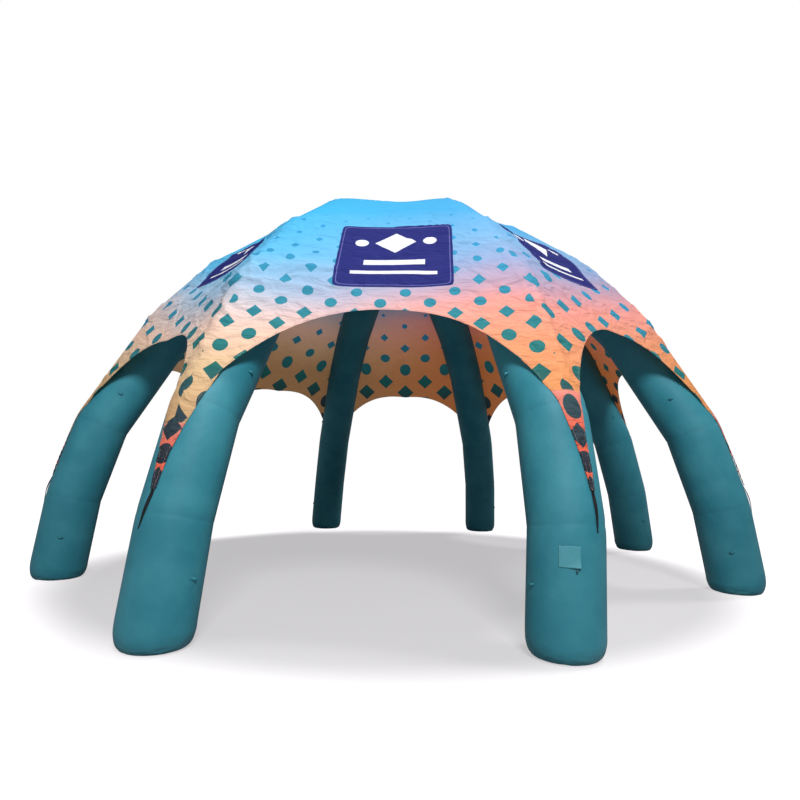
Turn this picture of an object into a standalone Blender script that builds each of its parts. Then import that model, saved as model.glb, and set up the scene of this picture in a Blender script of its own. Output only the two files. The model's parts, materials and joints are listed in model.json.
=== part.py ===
"""Inflatable spider tent: eight air-filled legs meet at a hub and carry one printed canopy.

Metres, +Z up. The feet stand on z = 0 and the hub is above the origin. The front faces -Y.
Leg 1 stands left of the front, and the count runs anticlockwise seen from above.
A place on a leg is its station, the length along the leg's bent centre line from the hub,
and its turn round the tube, an angle from the outer ridge that grows anticlockwise.
"""

import math
from collections import namedtuple

import bmesh
import bpy
from mathutils import Vector

# ---- driving dimensions ----
LEG_COUNT = 8
SECTOR = 2 * math.pi / LEG_COUNT
FIRST_LEG_ANGLE = -math.pi / 2 - SECTOR / 2

TUBE_RADIUS = 0.33
TUBE_SIDES = 24
FACET = 2 * math.pi / TUBE_SIDES

Kink = namedtuple("Kink", "reach height")
HUB_END = Kink(0.84, 4.88)
SHOULDER = Kink(1.70, 4.88)
UPPER_ELBOW = Kink(2.755, 4.139)
LOWER_ELBOW = Kink(3.44, 3.39)
KNEE = Kink(4.25, 1.99)
ANKLE = Kink(4.53, 1.03)
FOOT = Kink(4.65, 0.0)
# How much of its foot's stray an ankle takes.
ANKLE_SHARE = 0.35

# The foot's rounded rim: height above the ground and share of the tube's radius.
FootRing = namedtuple("FootRing", "height swell")
FOOT_RINGS = (FootRing(0.16, 1.0), FootRing(0.07, 0.96), FootRing(0.02, 0.88), FootRing(0.0, 0.77))

# One row a leg: how far its foot strayed outward and anticlockwise, where the canopy's tip
# ends down the leg and round it, how full its strip of cloth is, where the strap's free end
# lies round it, and which side carries the loops. Turns are in degrees.
Leg = namedtuple("Leg", "foot_out foot_aside tip_station tip_turn fullness strap_turn loop_side")
LEGS = (
    Leg(0.07, 0.02, 5.60, 0, 1.9, -11, 1),
    Leg(-0.05, -0.13, 5.53, 14, 1.0, 14, -1),
    Leg(0.03, 0.15, 5.58, -4, 1.0, -1, -1),
    Leg(0.04, 0.02, 5.55, 1, 1.1, -4, -1),
    Leg(-0.05, 0.04, 5.59, -2, 1.0, 3, -1),
    Leg(-0.035, 0.05, 5.56, -1, 1.1, -6, 1),
    Leg(0.0, 0.0, 5.58, 2, 1.0, 7, 1),
    Leg(0.0, -0.02, 5.57, 1, 1.0, 4, 1),
)

# One row a panel, from the front one anticlockwise: how much lower than HEM_TOP the hem's
# arch starts, how much lower its anticlockwise side leans, and how far the cloth hangs in.
Panel = namedtuple("Panel", "hem_drop hem_lean sag")
PANELS = (
    Panel(0.00, -0.03, 0.050),
    Panel(-0.05, -0.10, 0.045),
    Panel(0.06, -0.03, 0.055),
    Panel(0.09, 0.02, 0.050),
    Panel(0.11, -0.02, 0.045),
    Panel(0.11, 0.03, 0.055),
    Panel(0.10, -0.02, 0.050),
    Panel(0.13, 0.02, 0.060),
)

CLOTH = 0.003
CLEARANCE = 0.0006
SEAT_GAP = 0.0003
MERGE_DISTANCE = 0.0001
# Below this station the narrowing strip of cloth stands a little looser on its leg.
SLACK_STATION = 4.30
SLACK = 0.006

# The hem hangs between two legs as an upturned catenary from the station of its top, its
# fall given by the share of the half panel that is open. From the knee a strip goes on down
# the ridge: the share of the way from the knee to the tip, and half the strip's width.
HEM_TOP = 3.685
HEM_DEPTH = 0.148
HEM_STEEPNESS = 3.0
HEM_OPENINGS = (0.22, 0.42, 0.58, 0.72, 0.84)
STRIP_END_HALF_WIDTH = 0.030
StripRow = namedtuple("StripRow", "share half_width")
STRIP = (
    StripRow(0.0, 0.115),
    StripRow(0.3, 0.076),
    StripRow(0.6, 0.047),
    StripRow(0.85, 0.035),
    StripRow(1.0, STRIP_END_HALF_WIDTH),
)
CHORD_STEPS = 5

# Soft drag folds in the cloth. Round the tent a place is counted in half panels from the
# middle of the front, so leg 2's ridge is at 1 and leg 1's at -1.
Fold = namedtuple("Fold", "from_round from_station to_round to_station height half_width")
FOLDS = (
    Fold(0.95, 2.30, 0.10, 2.75, 0.022, 0.24),
    Fold(0.66, 2.95, 0.20, 3.35, -0.020, 0.22),
    Fold(-0.98, 2.90, -0.35, 3.30, 0.024, 0.24),
    Fold(-1.06, 2.60, -1.02, 4.60, 0.020, 0.22),
    Fold(1.05, 2.80, 1.03, 4.50, 0.018, 0.20),
    Fold(-0.60, 1.00, 0.60, 1.25, 0.015, 0.28),
    Fold(2.10, 2.10, 2.90, 2.60, 0.018, 0.26),
    Fold(4.95, 2.40, 4.20, 3.10, 0.020, 0.26),
    Fold(7.10, 2.30, 7.80, 3.00, 0.022, 0.26),
    Fold(-2.10, 2.20, -2.80, 2.80, 0.018, 0.26),
    Fold(-4.90, 2.50, -4.10, 3.00, 0.020, 0.24),
    Fold(-6.10, 2.10, -5.40, 2.90, 0.018, 0.26),
)

STRAP_LENGTH = 0.30
STRAP_GAP = 0.002
STRAP_WIDTH = 0.036
STRAP_END_WIDTH = 0.012
STRAP_THICKNESS = 0.002
STRAP_BOW = 0.010
STRAP_STEPS = 5

LOOP_STATIONS = {"upper": 4.305, "lower": 6.265}
LOOP_WEB = 0.020
LOOP_THICKNESS = 0.0025
# The loop's bowed outline, whose ends lie flat: place round the tube and height off the skin.
LoopPoint = namedtuple("LoopPoint", "aside height")
LOOP_OUTLINE = (
    LoopPoint(-0.042, 0.0),
    LoopPoint(-0.028, 0.0),
    LoopPoint(-0.016, 0.020),
    LoopPoint(0.016, 0.020),
    LoopPoint(0.028, 0.0),
    LoopPoint(0.042, 0.0),
)

VALVE_LEG = 1
FLAP_TURNS = (-3 * FACET, -2 * FACET, -1.4 * FACET, -FACET)
FLAP_STATIONS = (5.94, 5.995, 6.055, 6.11)
FLAP_THICKNESS = 0.003
FLAP_CORNER_LIFT = 0.014
STEM_SIDES = 12
STEM_RADIUS = 0.012
STEM_TOP_RADIUS = 0.010
STEM_HEIGHT = 0.018
STEM_TURN = math.radians(-20)
STEM_STATION = 6.133

HUB_HEIGHT = 2 * TUBE_RADIUS
HUB_ROUNDING = 0.17


def material(name, colour, roughness):
    made = bpy.data.materials.new(name)
    made.use_nodes = True
    shader = made.node_tree.nodes["Principled BSDF"]
    shader.inputs["Base Color"].default_value = (*colour, 1)
    shader.inputs["Roughness"].default_value = roughness
    shader.inputs["Metallic"].default_value = 0.0
    return made


def add_object(name, data, look, collection):
    made = bpy.data.objects.new(name, data)
    data.materials.append(look)
    collection.objects.link(made)
    return made


def smooth(mesh):
    mesh.shade_smooth()
    mesh.set_sharp_from_angle(angle=math.radians(50))


def solidify(sheet, thickness):
    thick = sheet.modifiers.new("thickness", "SOLIDIFY")
    thick.thickness = thickness
    thick.offset = 1.0


def leg_angle(leg):
    return FIRST_LEG_ANGLE + leg * SECTOR


def turned(angle, reach, aside, height):
    """A point given for a leg that lies along +X, turned to its place round the tent."""
    c, s = math.cos(angle), math.sin(angle)
    return Vector((reach * c - aside * s, reach * s + aside * c, height))


class Tube:
    """A leg's rings: where each one's centre is, and which way its ridge and its side point."""

    def __init__(self, foot_out=0.0, foot_aside=0.0):
        kinks = (HUB_END, SHOULDER, UPPER_ELBOW, LOWER_ELBOW, KNEE, ANKLE)
        upper = [Vector((k.reach, 0, k.height)) for k in kinks]
        upper[-1] += Vector((foot_out, foot_aside, 0)) * ANKLE_SHARE
        foot = Vector((FOOT.reach + foot_out, foot_aside, 0))
        lower = [foot + Vector((0, 0, ring.height)) for ring in FOOT_RINGS]
        self.centres = upper + lower
        self.swells = [1.0] * len(upper) + [ring.swell for ring in FOOT_RINGS]
        steps = [b - a for a, b in zip(self.centres, self.centres[1:])]
        lengths = [step.length for step in steps]
        self.stations = [sum(lengths[:i]) for i in range(len(self.centres))]
        for step in steps:
            step.normalize()
        headings = [(a + b).normalized() for a, b in zip(steps[:1] + steps, steps + steps[-1:])]
        self.ridges, self.sides = [Vector((0, 0, 1))], [Vector((0, 1, 0))]
        for old, new in zip(headings, headings[1:]):
            bend = old.rotation_difference(new)
            self.ridges.append(bend @ self.ridges[-1])
            self.sides.append(bend @ self.sides[-1])

    def between(self, station):
        """The last ring at or above this station, and the share of the way to the next."""
        i = max(k for k in range(len(self.stations) - 1) if k == 0 or self.stations[k] <= station)
        return i, (station - self.stations[i]) / (self.stations[i + 1] - self.stations[i])

    def point(self, station, turn, clearance=0.0):
        """A point this far outside the round tube, whose facets' corners are on it."""
        i, share = self.between(station)
        ends = []
        for k in (i, i + 1):
            radius = (TUBE_RADIUS + clearance) * self.swells[k]
            out = math.cos(turn) * self.ridges[k] + math.sin(turn) * self.sides[k]
            ends.append(self.centres[k] + radius * out)
        return ends[0].lerp(ends[1], share)

    def on_facet(self, station, turn):
        """The point of the faceted skin at this turn, with the ways out of it and down the leg."""
        first = math.floor(turn / FACET) * FACET
        a, b = self.point(station, first), self.point(station, first + FACET)
        down = (self.point(station + 0.01, first) - a).normalized()
        out = down.cross(b - a).normalized()
        return a.lerp(b, (turn - first) / FACET), out, down


PLAIN_TUBE = Tube()
SHOULDER_STATION, UPPER_ELBOW_STATION, LOWER_ELBOW_STATION, KNEE_STATION = PLAIN_TUBE.stations[1:5]


def make_leg(name, tube, angle, look, collection):
    curve = bpy.data.curves.new(name, "CURVE")
    curve.dimensions = "3D"
    curve.bevel_depth = TUBE_RADIUS
    curve.bevel_resolution = (TUBE_SIDES - 4) // 2
    curve.use_fill_caps = True
    curve.render_resolution_u = 0
    line = curve.splines.new("POLY")
    line.points.add(len(tube.centres) - 1)
    for point, centre, swell in zip(line.points, tube.centres, tube.swells):
        point.co = (*centre, 1)
        point.radius = swell
    leg = add_object(name, curve, look, collection)
    leg.rotation_euler.z = angle
    return leg


def cone_mesh(name, segments, radius, top_radius, height):
    shape = bmesh.new()
    bmesh.ops.create_cone(
        shape, segments=segments, radius1=radius, radius2=top_radius, depth=height, cap_ends=True
    )
    mesh = bpy.data.meshes.new(name)
    shape.to_mesh(mesh)
    shape.free()
    return mesh


def make_hub(look, collection):
    """An eight-sided cushion whose flat sides face the legs' ends."""
    apothem = HUB_END.reach - SEAT_GAP
    corner = apothem / math.cos(SECTOR / 2)
    mesh = cone_mesh("hub", LEG_COUNT, corner, corner, HUB_HEIGHT)
    hub = add_object("hub", mesh, look, collection)
    hub.location.z = HUB_END.height
    rounding = hub.modifiers.new("rounding", "BEVEL")
    rounding.width = HUB_ROUNDING
    rounding.segments = 3
    rounding.limit_method = "ANGLE"
    rounding.angle_limit = math.radians(60)
    return hub


def hem_fall(opening):
    """How far below its top the hem has opened by this share of the half panel."""
    return HEM_DEPTH * (math.cosh(HEM_STEEPNESS * opening) - 1)


def midway(a, b):
    return (a + b) / 2


Row = namedtuple("Row", "station covered half_width sway lean")


def canopy_rows(tip_station, fullness):
    """The cloth's rows from the crown to the tip.

    A row covers a share of the half panel, or a half width where it is a strip. Sway is its
    share of the hem's drop, and lean its share of the hem's lean.
    """
    whole = (
        0.0,
        midway(0.0, SHOULDER_STATION),
        SHOULDER_STATION,
        midway(SHOULDER_STATION, UPPER_ELBOW_STATION),
        UPPER_ELBOW_STATION,
        midway(UPPER_ELBOW_STATION, LOWER_ELBOW_STATION),
        LOWER_ELBOW_STATION,
    )
    rows = [Row(station, 1.0, None, 0.0, 0.0) for station in whole]
    rows.append(Row(midway(LOWER_ELBOW_STATION, HEM_TOP), 1.0, None, 0.5, 0.0))
    rows.append(Row(HEM_TOP, 1.0, None, 1.0, 0.0))
    for opening in HEM_OPENINGS:
        lean = 6.75 * opening**2 * (1 - opening)
        rows.append(Row(HEM_TOP + hem_fall(opening), 1 - opening, None, (1 - opening) ** 2, lean))
    for strip in STRIP:
        station = KNEE_STATION + strip.share * (tip_station - KNEE_STATION)
        width = STRIP_END_HALF_WIDTH + fullness * (strip.half_width - STRIP_END_HALF_WIDTH)
        rows.append(Row(station, None, width, 0.0, 0.0))
    return rows


def leave_turn(station):
    """The turn at which the cloth leaves the tube: the facet's corner, or the ridge on the flat top."""
    return FACET if station >= SHOULDER_STATION else 0.0


def wrapped_width(station):
    return leave_turn(station) * (TUBE_RADIUS + CLEARANCE)


def stand_off(station):
    share = min(max((station - SLACK_STATION) / (KNEE_STATION - SLACK_STATION), 0.0), 1.0)
    return CLEARANCE + SLACK * share


def half_panel_width(station):
    """From the leg's ridge, over the tube's shoulder and straight to the panel's middle."""
    edge = PLAIN_TUBE.point(station, leave_turn(station), stand_off(station))
    chord = edge.x * math.sin(SECTOR / 2) - edge.y * math.cos(SECTOR / 2)
    return wrapped_width(station) + chord


def cloth_point(tube, station, across):
    """The cloth's inner side, across metres from the ridge of a leg that lies along +X."""
    wrapped, off = wrapped_width(station), stand_off(station)
    if abs(across) <= wrapped:
        return tube.point(station, across / (TUBE_RADIUS + CLEARANCE), off)
    side = math.copysign(1.0, across)
    start = tube.point(station, side * leave_turn(station), off)
    run = Vector((-math.sin(SECTOR / 2), side * math.cos(SECTOR / 2), 0))
    return start + run * (abs(across) - wrapped)


def fold_height(round_place, station, half_width):
    """The folds' height at a place counted in half panels round the tent."""
    total = 0.0
    turns = 2 * LEG_COUNT
    for fold in FOLDS:
        start_x = (fold.from_round - round_place + LEG_COUNT) % turns - LEG_COUNT
        end_x = start_x + fold.to_round - fold.from_round
        start = Vector((start_x * half_width, fold.from_station - station))
        end = Vector((end_x * half_width, fold.to_station - station))
        run = end - start
        share = min(max(-start.dot(run) / run.length_squared, 0.0), 1.0)
        away = (start + share * run).length / fold.half_width
        if away < 1:
            fading = math.sin(math.pi * (0.15 + 0.7 * share))
            total += fold.height * fading * (1 + math.cos(math.pi * away)) / 2
    return total


def hang(station, across, half_width, panel):
    """How far the cloth hangs in between two legs, none beside the tube and on the hub."""
    wrapped = wrapped_width(station)
    place = 1 - max(abs(across) - wrapped, 0) / (half_width - wrapped)
    reached = min(max(station / SHOULDER_STATION, 0), 1)
    return panel.sag * (1 - place**2) ** 2 * reached**2


def column_places(width, wrapped):
    """Places across half a row: over the tube to the facet's corner, then along the chord.

    A strip too narrow to reach past the corner is shared out evenly.
    """
    steps = CHORD_STEPS + 1
    if width < 1.6 * wrapped:
        return [width * k / steps for k in range(steps + 1)]
    return [0.0] + [wrapped + (width - wrapped) * k / CHORD_STEPS for k in range(CHORD_STEPS + 1)]


def leg_tube(leg):
    return Tube(LEGS[leg].foot_out, LEGS[leg].foot_aside)


def canopy_grid(leg):
    """The cloth of one leg, panel middle to panel middle, as rows of (place, offset)."""
    wrapped = wrapped_width(SHOULDER_STATION)
    tip_station, tip_turn = LEGS[leg].tip_station, math.radians(LEGS[leg].tip_turn)
    grid = []
    for row in canopy_rows(tip_station, LEGS[leg].fullness):
        line = []
        tube = leg_tube(leg) if row.half_width else PLAIN_TUBE
        down_strip = max((row.station - KNEE_STATION) / (tip_station - KNEE_STATION), 0.0)
        astray = tip_turn * down_strip * (TUBE_RADIUS + CLEARANCE)
        width = row.half_width or half_panel_width(row.station) * row.covered
        places = column_places(width, wrapped)
        for side in (-1, 1):
            panel = PANELS[(leg + (side - 1) // 2) % LEG_COUNT]
            for place in places[:0:-1] if side < 0 else places:
                share = place / width
                drop = panel.hem_drop * row.sway - side * panel.hem_lean * row.lean
                station = row.station + drop * share
                half = half_panel_width(station)
                across = side * (half * row.covered * share if drop else place)
                round_place = 2 * leg - 1 + across / half
                offset = fold_height(round_place, station, half) - hang(station, across, half, panel)
                point = cloth_point(tube, station, across + astray)
                line.append((turned(leg_angle(leg), *point), offset))
        grid.append(line)
    return grid


def add_faces_between(shape, rows):
    """Faces over rows of vertices, seen from outside with each row running anticlockwise."""
    for above, below in zip(rows, rows[1:]):
        for k in range(len(above) - 1):
            shape.faces.new((above[k], below[k], below[k + 1], above[k + 1]))


def make_canopy(look, collection):
    """One sheet, drawn as its inner side, then hung and folded along its own normals."""
    shape = bmesh.new()
    crown = shape.verts.new((0, 0, SHOULDER.height + TUBE_RADIUS + CLEARANCE))
    offsets = {crown: 0.0}
    for leg in range(LEG_COUNT):
        verts = []
        for line in canopy_grid(leg):
            row = [shape.verts.new(place) for place, _ in line]
            offsets.update({vert: offset for vert, (_, offset) in zip(row, line)})
            verts.append(row)
        for a, b in zip(verts[0], verts[0][1:]):
            shape.faces.new((crown, a, b))
        add_faces_between(shape, verts)
    # The legs' cloths meet in the panels' middles, and each vertex left there keeps its offset.
    joined = bmesh.ops.find_doubles(shape, verts=shape.verts, dist=MERGE_DISTANCE)["targetmap"]
    bmesh.ops.weld_verts(shape, targetmap=joined)
    bmesh.ops.triangulate(shape, faces=shape.faces, quad_method="SHORT_EDGE")
    bmesh.ops.recalc_face_normals(shape, faces=shape.faces)
    shape.normal_update()
    moves = [(vert, vert.normal * offset) for vert, offset in offsets.items() if vert.is_valid]
    for vert, move in moves:
        vert.co += move
    mesh = bpy.data.meshes.new("canopy")
    shape.to_mesh(mesh)
    shape.free()
    smooth(mesh)
    canopy = add_object("canopy", mesh, look, collection)
    solidify(canopy, CLOTH)
    return canopy


def sheet_from_rows(name, rows):
    """A mesh over rows of points that run down the leg."""
    shape = bmesh.new()
    add_faces_between(shape, [[shape.verts.new(point) for point in row] for row in rows])
    bmesh.ops.triangulate(shape, faces=shape.faces)
    mesh = bpy.data.meshes.new(name)
    shape.to_mesh(mesh)
    shape.free()
    smooth(mesh)
    return mesh


def make_strap(name, leg, tube, look, collection):
    """Webbing from the canopy's tip down the leg, tapering to its free end."""
    row = LEGS[leg]
    rows = []
    for k in range(STRAP_STEPS + 1):
        share = k / STRAP_STEPS
        station = row.tip_station + STRAP_GAP + share * STRAP_LENGTH
        turn = math.radians(row.tip_turn + (row.strap_turn - row.tip_turn) * share**2)
        width = STRAP_WIDTH + (STRAP_END_WIDTH - STRAP_WIDTH) * share
        off = CLEARANCE + STRAP_BOW * math.sin(math.pi * share) ** 2
        spread = width / 2 / TUBE_RADIUS
        rows.append([tube.point(station, turn + side * spread, off) for side in (-1, 0, 1)])
    strap = add_object(name, sheet_from_rows(name, rows), look, collection)
    strap.rotation_euler.z = leg_angle(leg)
    solidify(strap, STRAP_THICKNESS)
    return strap


def make_loop(name, leg, tube, station, look, collection):
    """A short web bowed off the leg's side, open along the leg."""
    above, below = [], []
    for point in LOOP_OUTLINE:
        turn = LEGS[leg].loop_side * math.pi / 2 + point.aside / TUBE_RADIUS
        place, out, down = tube.on_facet(station, turn)
        inner = place + out * (SEAT_GAP + point.height)
        above.append(inner - down * LOOP_WEB / 2)
        below.append(inner + down * LOOP_WEB / 2)
    loop = add_object(name, sheet_from_rows(name, [above, below]), look, collection)
    loop.rotation_euler.z = leg_angle(leg)
    solidify(loop, LOOP_THICKNESS)
    return loop


def make_flap(tube, look, collection):
    """The square flap over the air valve, with its lower outer corner turned up."""
    rows = []
    for station in FLAP_STATIONS:
        lift = FLAP_CORNER_LIFT if station == FLAP_STATIONS[-1] else 0.0
        line = [tube.point(station, turn, CLEARANCE) for turn in FLAP_TURNS[:-1]]
        line.append(tube.point(station, FLAP_TURNS[-1], CLEARANCE + lift))
        rows.append(line)
    flap = add_object("valve_flap", sheet_from_rows("valve_flap", rows), look, collection)
    flap.rotation_euler.z = leg_angle(VALVE_LEG)
    solidify(flap, FLAP_THICKNESS)
    return flap


def make_stem(tube, look, collection):
    """The air valve's short stem, just below the flap."""
    mesh = cone_mesh("valve_stem", STEM_SIDES, STEM_RADIUS, STEM_TOP_RADIUS, STEM_HEIGHT)
    smooth(mesh)
    stem = add_object("valve_stem", mesh, look, collection)
    place, out, _ = tube.on_facet(STEM_STATION, STEM_TURN)
    seat = place + out * (SEAT_GAP + STEM_HEIGHT / 2)
    stem.location = turned(leg_angle(VALVE_LEG), *seat)
    facing = turned(leg_angle(VALVE_LEG), *out)
    stem.rotation_mode = "QUATERNION"
    stem.rotation_quaternion = facing.to_track_quat("Z", "Y")
    return stem


def main():
    for old in list(bpy.data.objects):
        bpy.data.objects.remove(old)
    tent = bpy.data.collections.new("inflatable_spider_tent")
    bpy.context.scene.collection.children.link(tent)

    fabric = material("teal_coated_fabric", (0.040, 0.235, 0.310), 0.55)
    print_cloth = material("printed_canopy_cloth", (0.720, 0.420, 0.330), 0.60)
    webbing = material("black_webbing", (0.012, 0.013, 0.015), 0.75)
    plastic = material("dark_valve_plastic", (0.015, 0.060, 0.075), 0.50)

    make_hub(fabric, tent)
    make_canopy(print_cloth, tent)
    for leg in range(LEG_COUNT):
        number = leg + 1
        tube = leg_tube(leg)
        make_leg(f"leg_{number}", tube, leg_angle(leg), fabric, tent)
        make_strap(f"strap_{number}", leg, tube, webbing, tent)
        for place, station in LOOP_STATIONS.items():
            make_loop(f"loop_{number}_{place}", leg, tube, station, fabric, tent)
        if leg == VALVE_LEG:
            make_flap(tube, fabric, tent)
            make_stem(tube, plastic, tent)


main()
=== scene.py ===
# %% [markdown]
# # An inflatable spider tent
# Eight blown-up legs meet at a hub, and one printed canopy is stretched over them. The hard
# parts of such a tent are air and cloth, so nearly everything here is a skin: tubes swept along
# a bent line, and a sheet laid over the tubes and pulled into folds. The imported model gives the
# frame that every piece is placed in. Its box is kept, to compare with the dressed tent's.

# %% Load the frame
import json
import math
from collections import namedtuple

import bmesh
import bpy
import numpy as np
from mathutils import Vector
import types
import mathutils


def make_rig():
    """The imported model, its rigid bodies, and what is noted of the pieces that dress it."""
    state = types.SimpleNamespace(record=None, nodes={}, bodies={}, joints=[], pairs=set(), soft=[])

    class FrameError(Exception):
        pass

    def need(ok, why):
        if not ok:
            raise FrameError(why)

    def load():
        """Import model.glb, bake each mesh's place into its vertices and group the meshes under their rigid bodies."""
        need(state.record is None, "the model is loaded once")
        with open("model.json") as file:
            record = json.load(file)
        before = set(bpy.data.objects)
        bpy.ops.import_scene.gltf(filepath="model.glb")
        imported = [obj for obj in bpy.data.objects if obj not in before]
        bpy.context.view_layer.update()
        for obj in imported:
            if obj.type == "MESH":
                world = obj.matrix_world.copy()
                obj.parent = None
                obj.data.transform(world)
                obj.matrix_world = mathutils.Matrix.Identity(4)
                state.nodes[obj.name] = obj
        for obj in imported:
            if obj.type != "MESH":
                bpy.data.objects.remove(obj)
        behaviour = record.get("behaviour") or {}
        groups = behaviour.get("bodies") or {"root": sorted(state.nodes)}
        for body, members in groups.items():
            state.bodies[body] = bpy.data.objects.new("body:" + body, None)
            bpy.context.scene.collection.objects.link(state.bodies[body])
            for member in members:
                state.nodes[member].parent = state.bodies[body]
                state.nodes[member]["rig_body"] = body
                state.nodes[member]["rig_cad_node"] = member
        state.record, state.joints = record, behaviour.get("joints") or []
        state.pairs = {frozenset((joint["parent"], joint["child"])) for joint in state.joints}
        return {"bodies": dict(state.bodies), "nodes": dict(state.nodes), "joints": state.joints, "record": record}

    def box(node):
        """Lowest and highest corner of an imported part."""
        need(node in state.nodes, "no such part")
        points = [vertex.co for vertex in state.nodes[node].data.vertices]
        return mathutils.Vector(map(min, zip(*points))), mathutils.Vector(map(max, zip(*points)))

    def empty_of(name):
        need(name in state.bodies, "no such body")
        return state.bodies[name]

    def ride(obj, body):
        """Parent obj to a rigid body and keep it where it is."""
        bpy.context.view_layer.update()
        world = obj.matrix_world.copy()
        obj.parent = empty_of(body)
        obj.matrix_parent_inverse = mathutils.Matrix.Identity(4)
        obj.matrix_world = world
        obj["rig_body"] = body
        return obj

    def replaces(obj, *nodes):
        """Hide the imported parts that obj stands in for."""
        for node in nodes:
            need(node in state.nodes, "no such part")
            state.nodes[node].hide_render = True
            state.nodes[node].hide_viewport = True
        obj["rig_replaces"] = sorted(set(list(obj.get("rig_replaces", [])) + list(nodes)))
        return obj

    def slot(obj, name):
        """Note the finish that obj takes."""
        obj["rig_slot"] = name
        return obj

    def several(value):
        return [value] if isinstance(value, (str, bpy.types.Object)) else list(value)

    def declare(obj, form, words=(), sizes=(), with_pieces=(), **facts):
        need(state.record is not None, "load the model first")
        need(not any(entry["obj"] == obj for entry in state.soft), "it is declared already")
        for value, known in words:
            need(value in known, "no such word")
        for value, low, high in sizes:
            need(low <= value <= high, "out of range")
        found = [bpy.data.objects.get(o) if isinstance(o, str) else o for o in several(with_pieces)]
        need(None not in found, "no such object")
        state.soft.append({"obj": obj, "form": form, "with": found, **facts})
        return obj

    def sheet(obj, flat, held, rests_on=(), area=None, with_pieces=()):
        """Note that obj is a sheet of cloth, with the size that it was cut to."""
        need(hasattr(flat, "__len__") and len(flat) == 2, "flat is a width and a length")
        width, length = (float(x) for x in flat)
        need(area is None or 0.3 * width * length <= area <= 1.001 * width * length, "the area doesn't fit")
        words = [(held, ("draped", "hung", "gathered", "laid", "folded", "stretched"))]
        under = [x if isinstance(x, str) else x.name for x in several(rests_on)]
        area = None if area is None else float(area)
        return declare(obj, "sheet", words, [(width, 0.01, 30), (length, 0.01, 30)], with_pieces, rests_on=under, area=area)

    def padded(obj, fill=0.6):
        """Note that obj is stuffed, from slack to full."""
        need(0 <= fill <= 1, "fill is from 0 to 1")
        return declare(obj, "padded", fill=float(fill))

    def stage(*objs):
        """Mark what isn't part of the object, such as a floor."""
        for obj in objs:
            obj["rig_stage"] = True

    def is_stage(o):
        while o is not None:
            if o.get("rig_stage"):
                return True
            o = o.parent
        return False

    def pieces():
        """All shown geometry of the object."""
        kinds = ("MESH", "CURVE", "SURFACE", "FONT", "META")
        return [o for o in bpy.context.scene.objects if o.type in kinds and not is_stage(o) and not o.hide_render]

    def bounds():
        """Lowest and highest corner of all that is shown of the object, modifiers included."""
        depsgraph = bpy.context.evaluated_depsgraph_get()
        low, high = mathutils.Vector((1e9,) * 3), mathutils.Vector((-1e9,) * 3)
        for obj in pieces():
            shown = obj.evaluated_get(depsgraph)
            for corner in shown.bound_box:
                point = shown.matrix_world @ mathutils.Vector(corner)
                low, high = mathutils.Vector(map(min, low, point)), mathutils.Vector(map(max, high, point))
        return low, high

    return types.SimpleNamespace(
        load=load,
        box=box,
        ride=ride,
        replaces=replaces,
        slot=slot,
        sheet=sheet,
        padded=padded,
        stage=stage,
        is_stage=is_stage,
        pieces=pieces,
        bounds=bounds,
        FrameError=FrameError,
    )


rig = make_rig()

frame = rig.load()
cad_box = [list(corner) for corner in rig.bounds()]
print("nodes", len(frame["nodes"]), "box", cad_box)

# %% [markdown]
# ## Sizes
# The same named sizes that the solids were built from, in metres. A place on a leg is its
# station, the length down the leg's bent centre line from the hub's side, and its turn round
# the tube from the outer ridge, which grows anticlockwise seen from above.

# %% Name the sizes
LEG_COUNT = 8
SECTOR = 2 * math.pi / LEG_COUNT
FIRST_LEG_ANGLE = -math.pi / 2 - SECTOR / 2
HALF_SIN, HALF_COS = math.sin(SECTOR / 2), math.cos(SECTOR / 2)
TUBE_RADIUS = 0.33
HUB_REACH = 0.84
TOP_HEIGHT = 4.88
# Reach and height of each kink in a leg's centre line, from the hub's side to the ankle.
KINKS = ((0.84, 4.88), (1.70, 4.88), (2.755, 4.139), (3.44, 3.39), (4.25, 1.99), (4.53, 1.03))
FOOT_REACH = 4.65
FOOT_RIM = 0.16
FOOT_SWELL = 0.77
ANKLE_SHARE = 0.35
SHOULDER, UPPER_ELBOW, LOWER_ELBOW, KNEE, ANKLE = 0.860, 2.149, 3.164, 4.781, 5.781

# One row a leg: how far its foot strayed outward and anticlockwise, where the canopy's tip
# ends down the leg and round it, how full its strip of cloth is, where the strap's free end
# lies round it, and which side carries the tie loops.
Leg = namedtuple("Leg", "foot_out foot_aside tip_station tip_turn fullness strap_turn loop_side")
LEGS = (
    Leg(0.07, 0.02, 5.60, 0, 1.9, -11, 1),
    Leg(-0.05, -0.13, 5.53, 14, 1.0, 14, -1),
    Leg(0.03, 0.15, 5.58, -4, 1.0, -1, -1),
    Leg(0.04, 0.02, 5.55, 1, 1.1, -4, -1),
    Leg(-0.05, 0.04, 5.59, -2, 1.0, 3, -1),
    Leg(-0.035, 0.05, 5.56, -1, 1.1, -6, 1),
    Leg(0.0, 0.0, 5.58, 2, 1.0, 7, 1),
    Leg(0.0, -0.02, 5.57, 1, 1.0, 4, 1),
)
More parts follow.
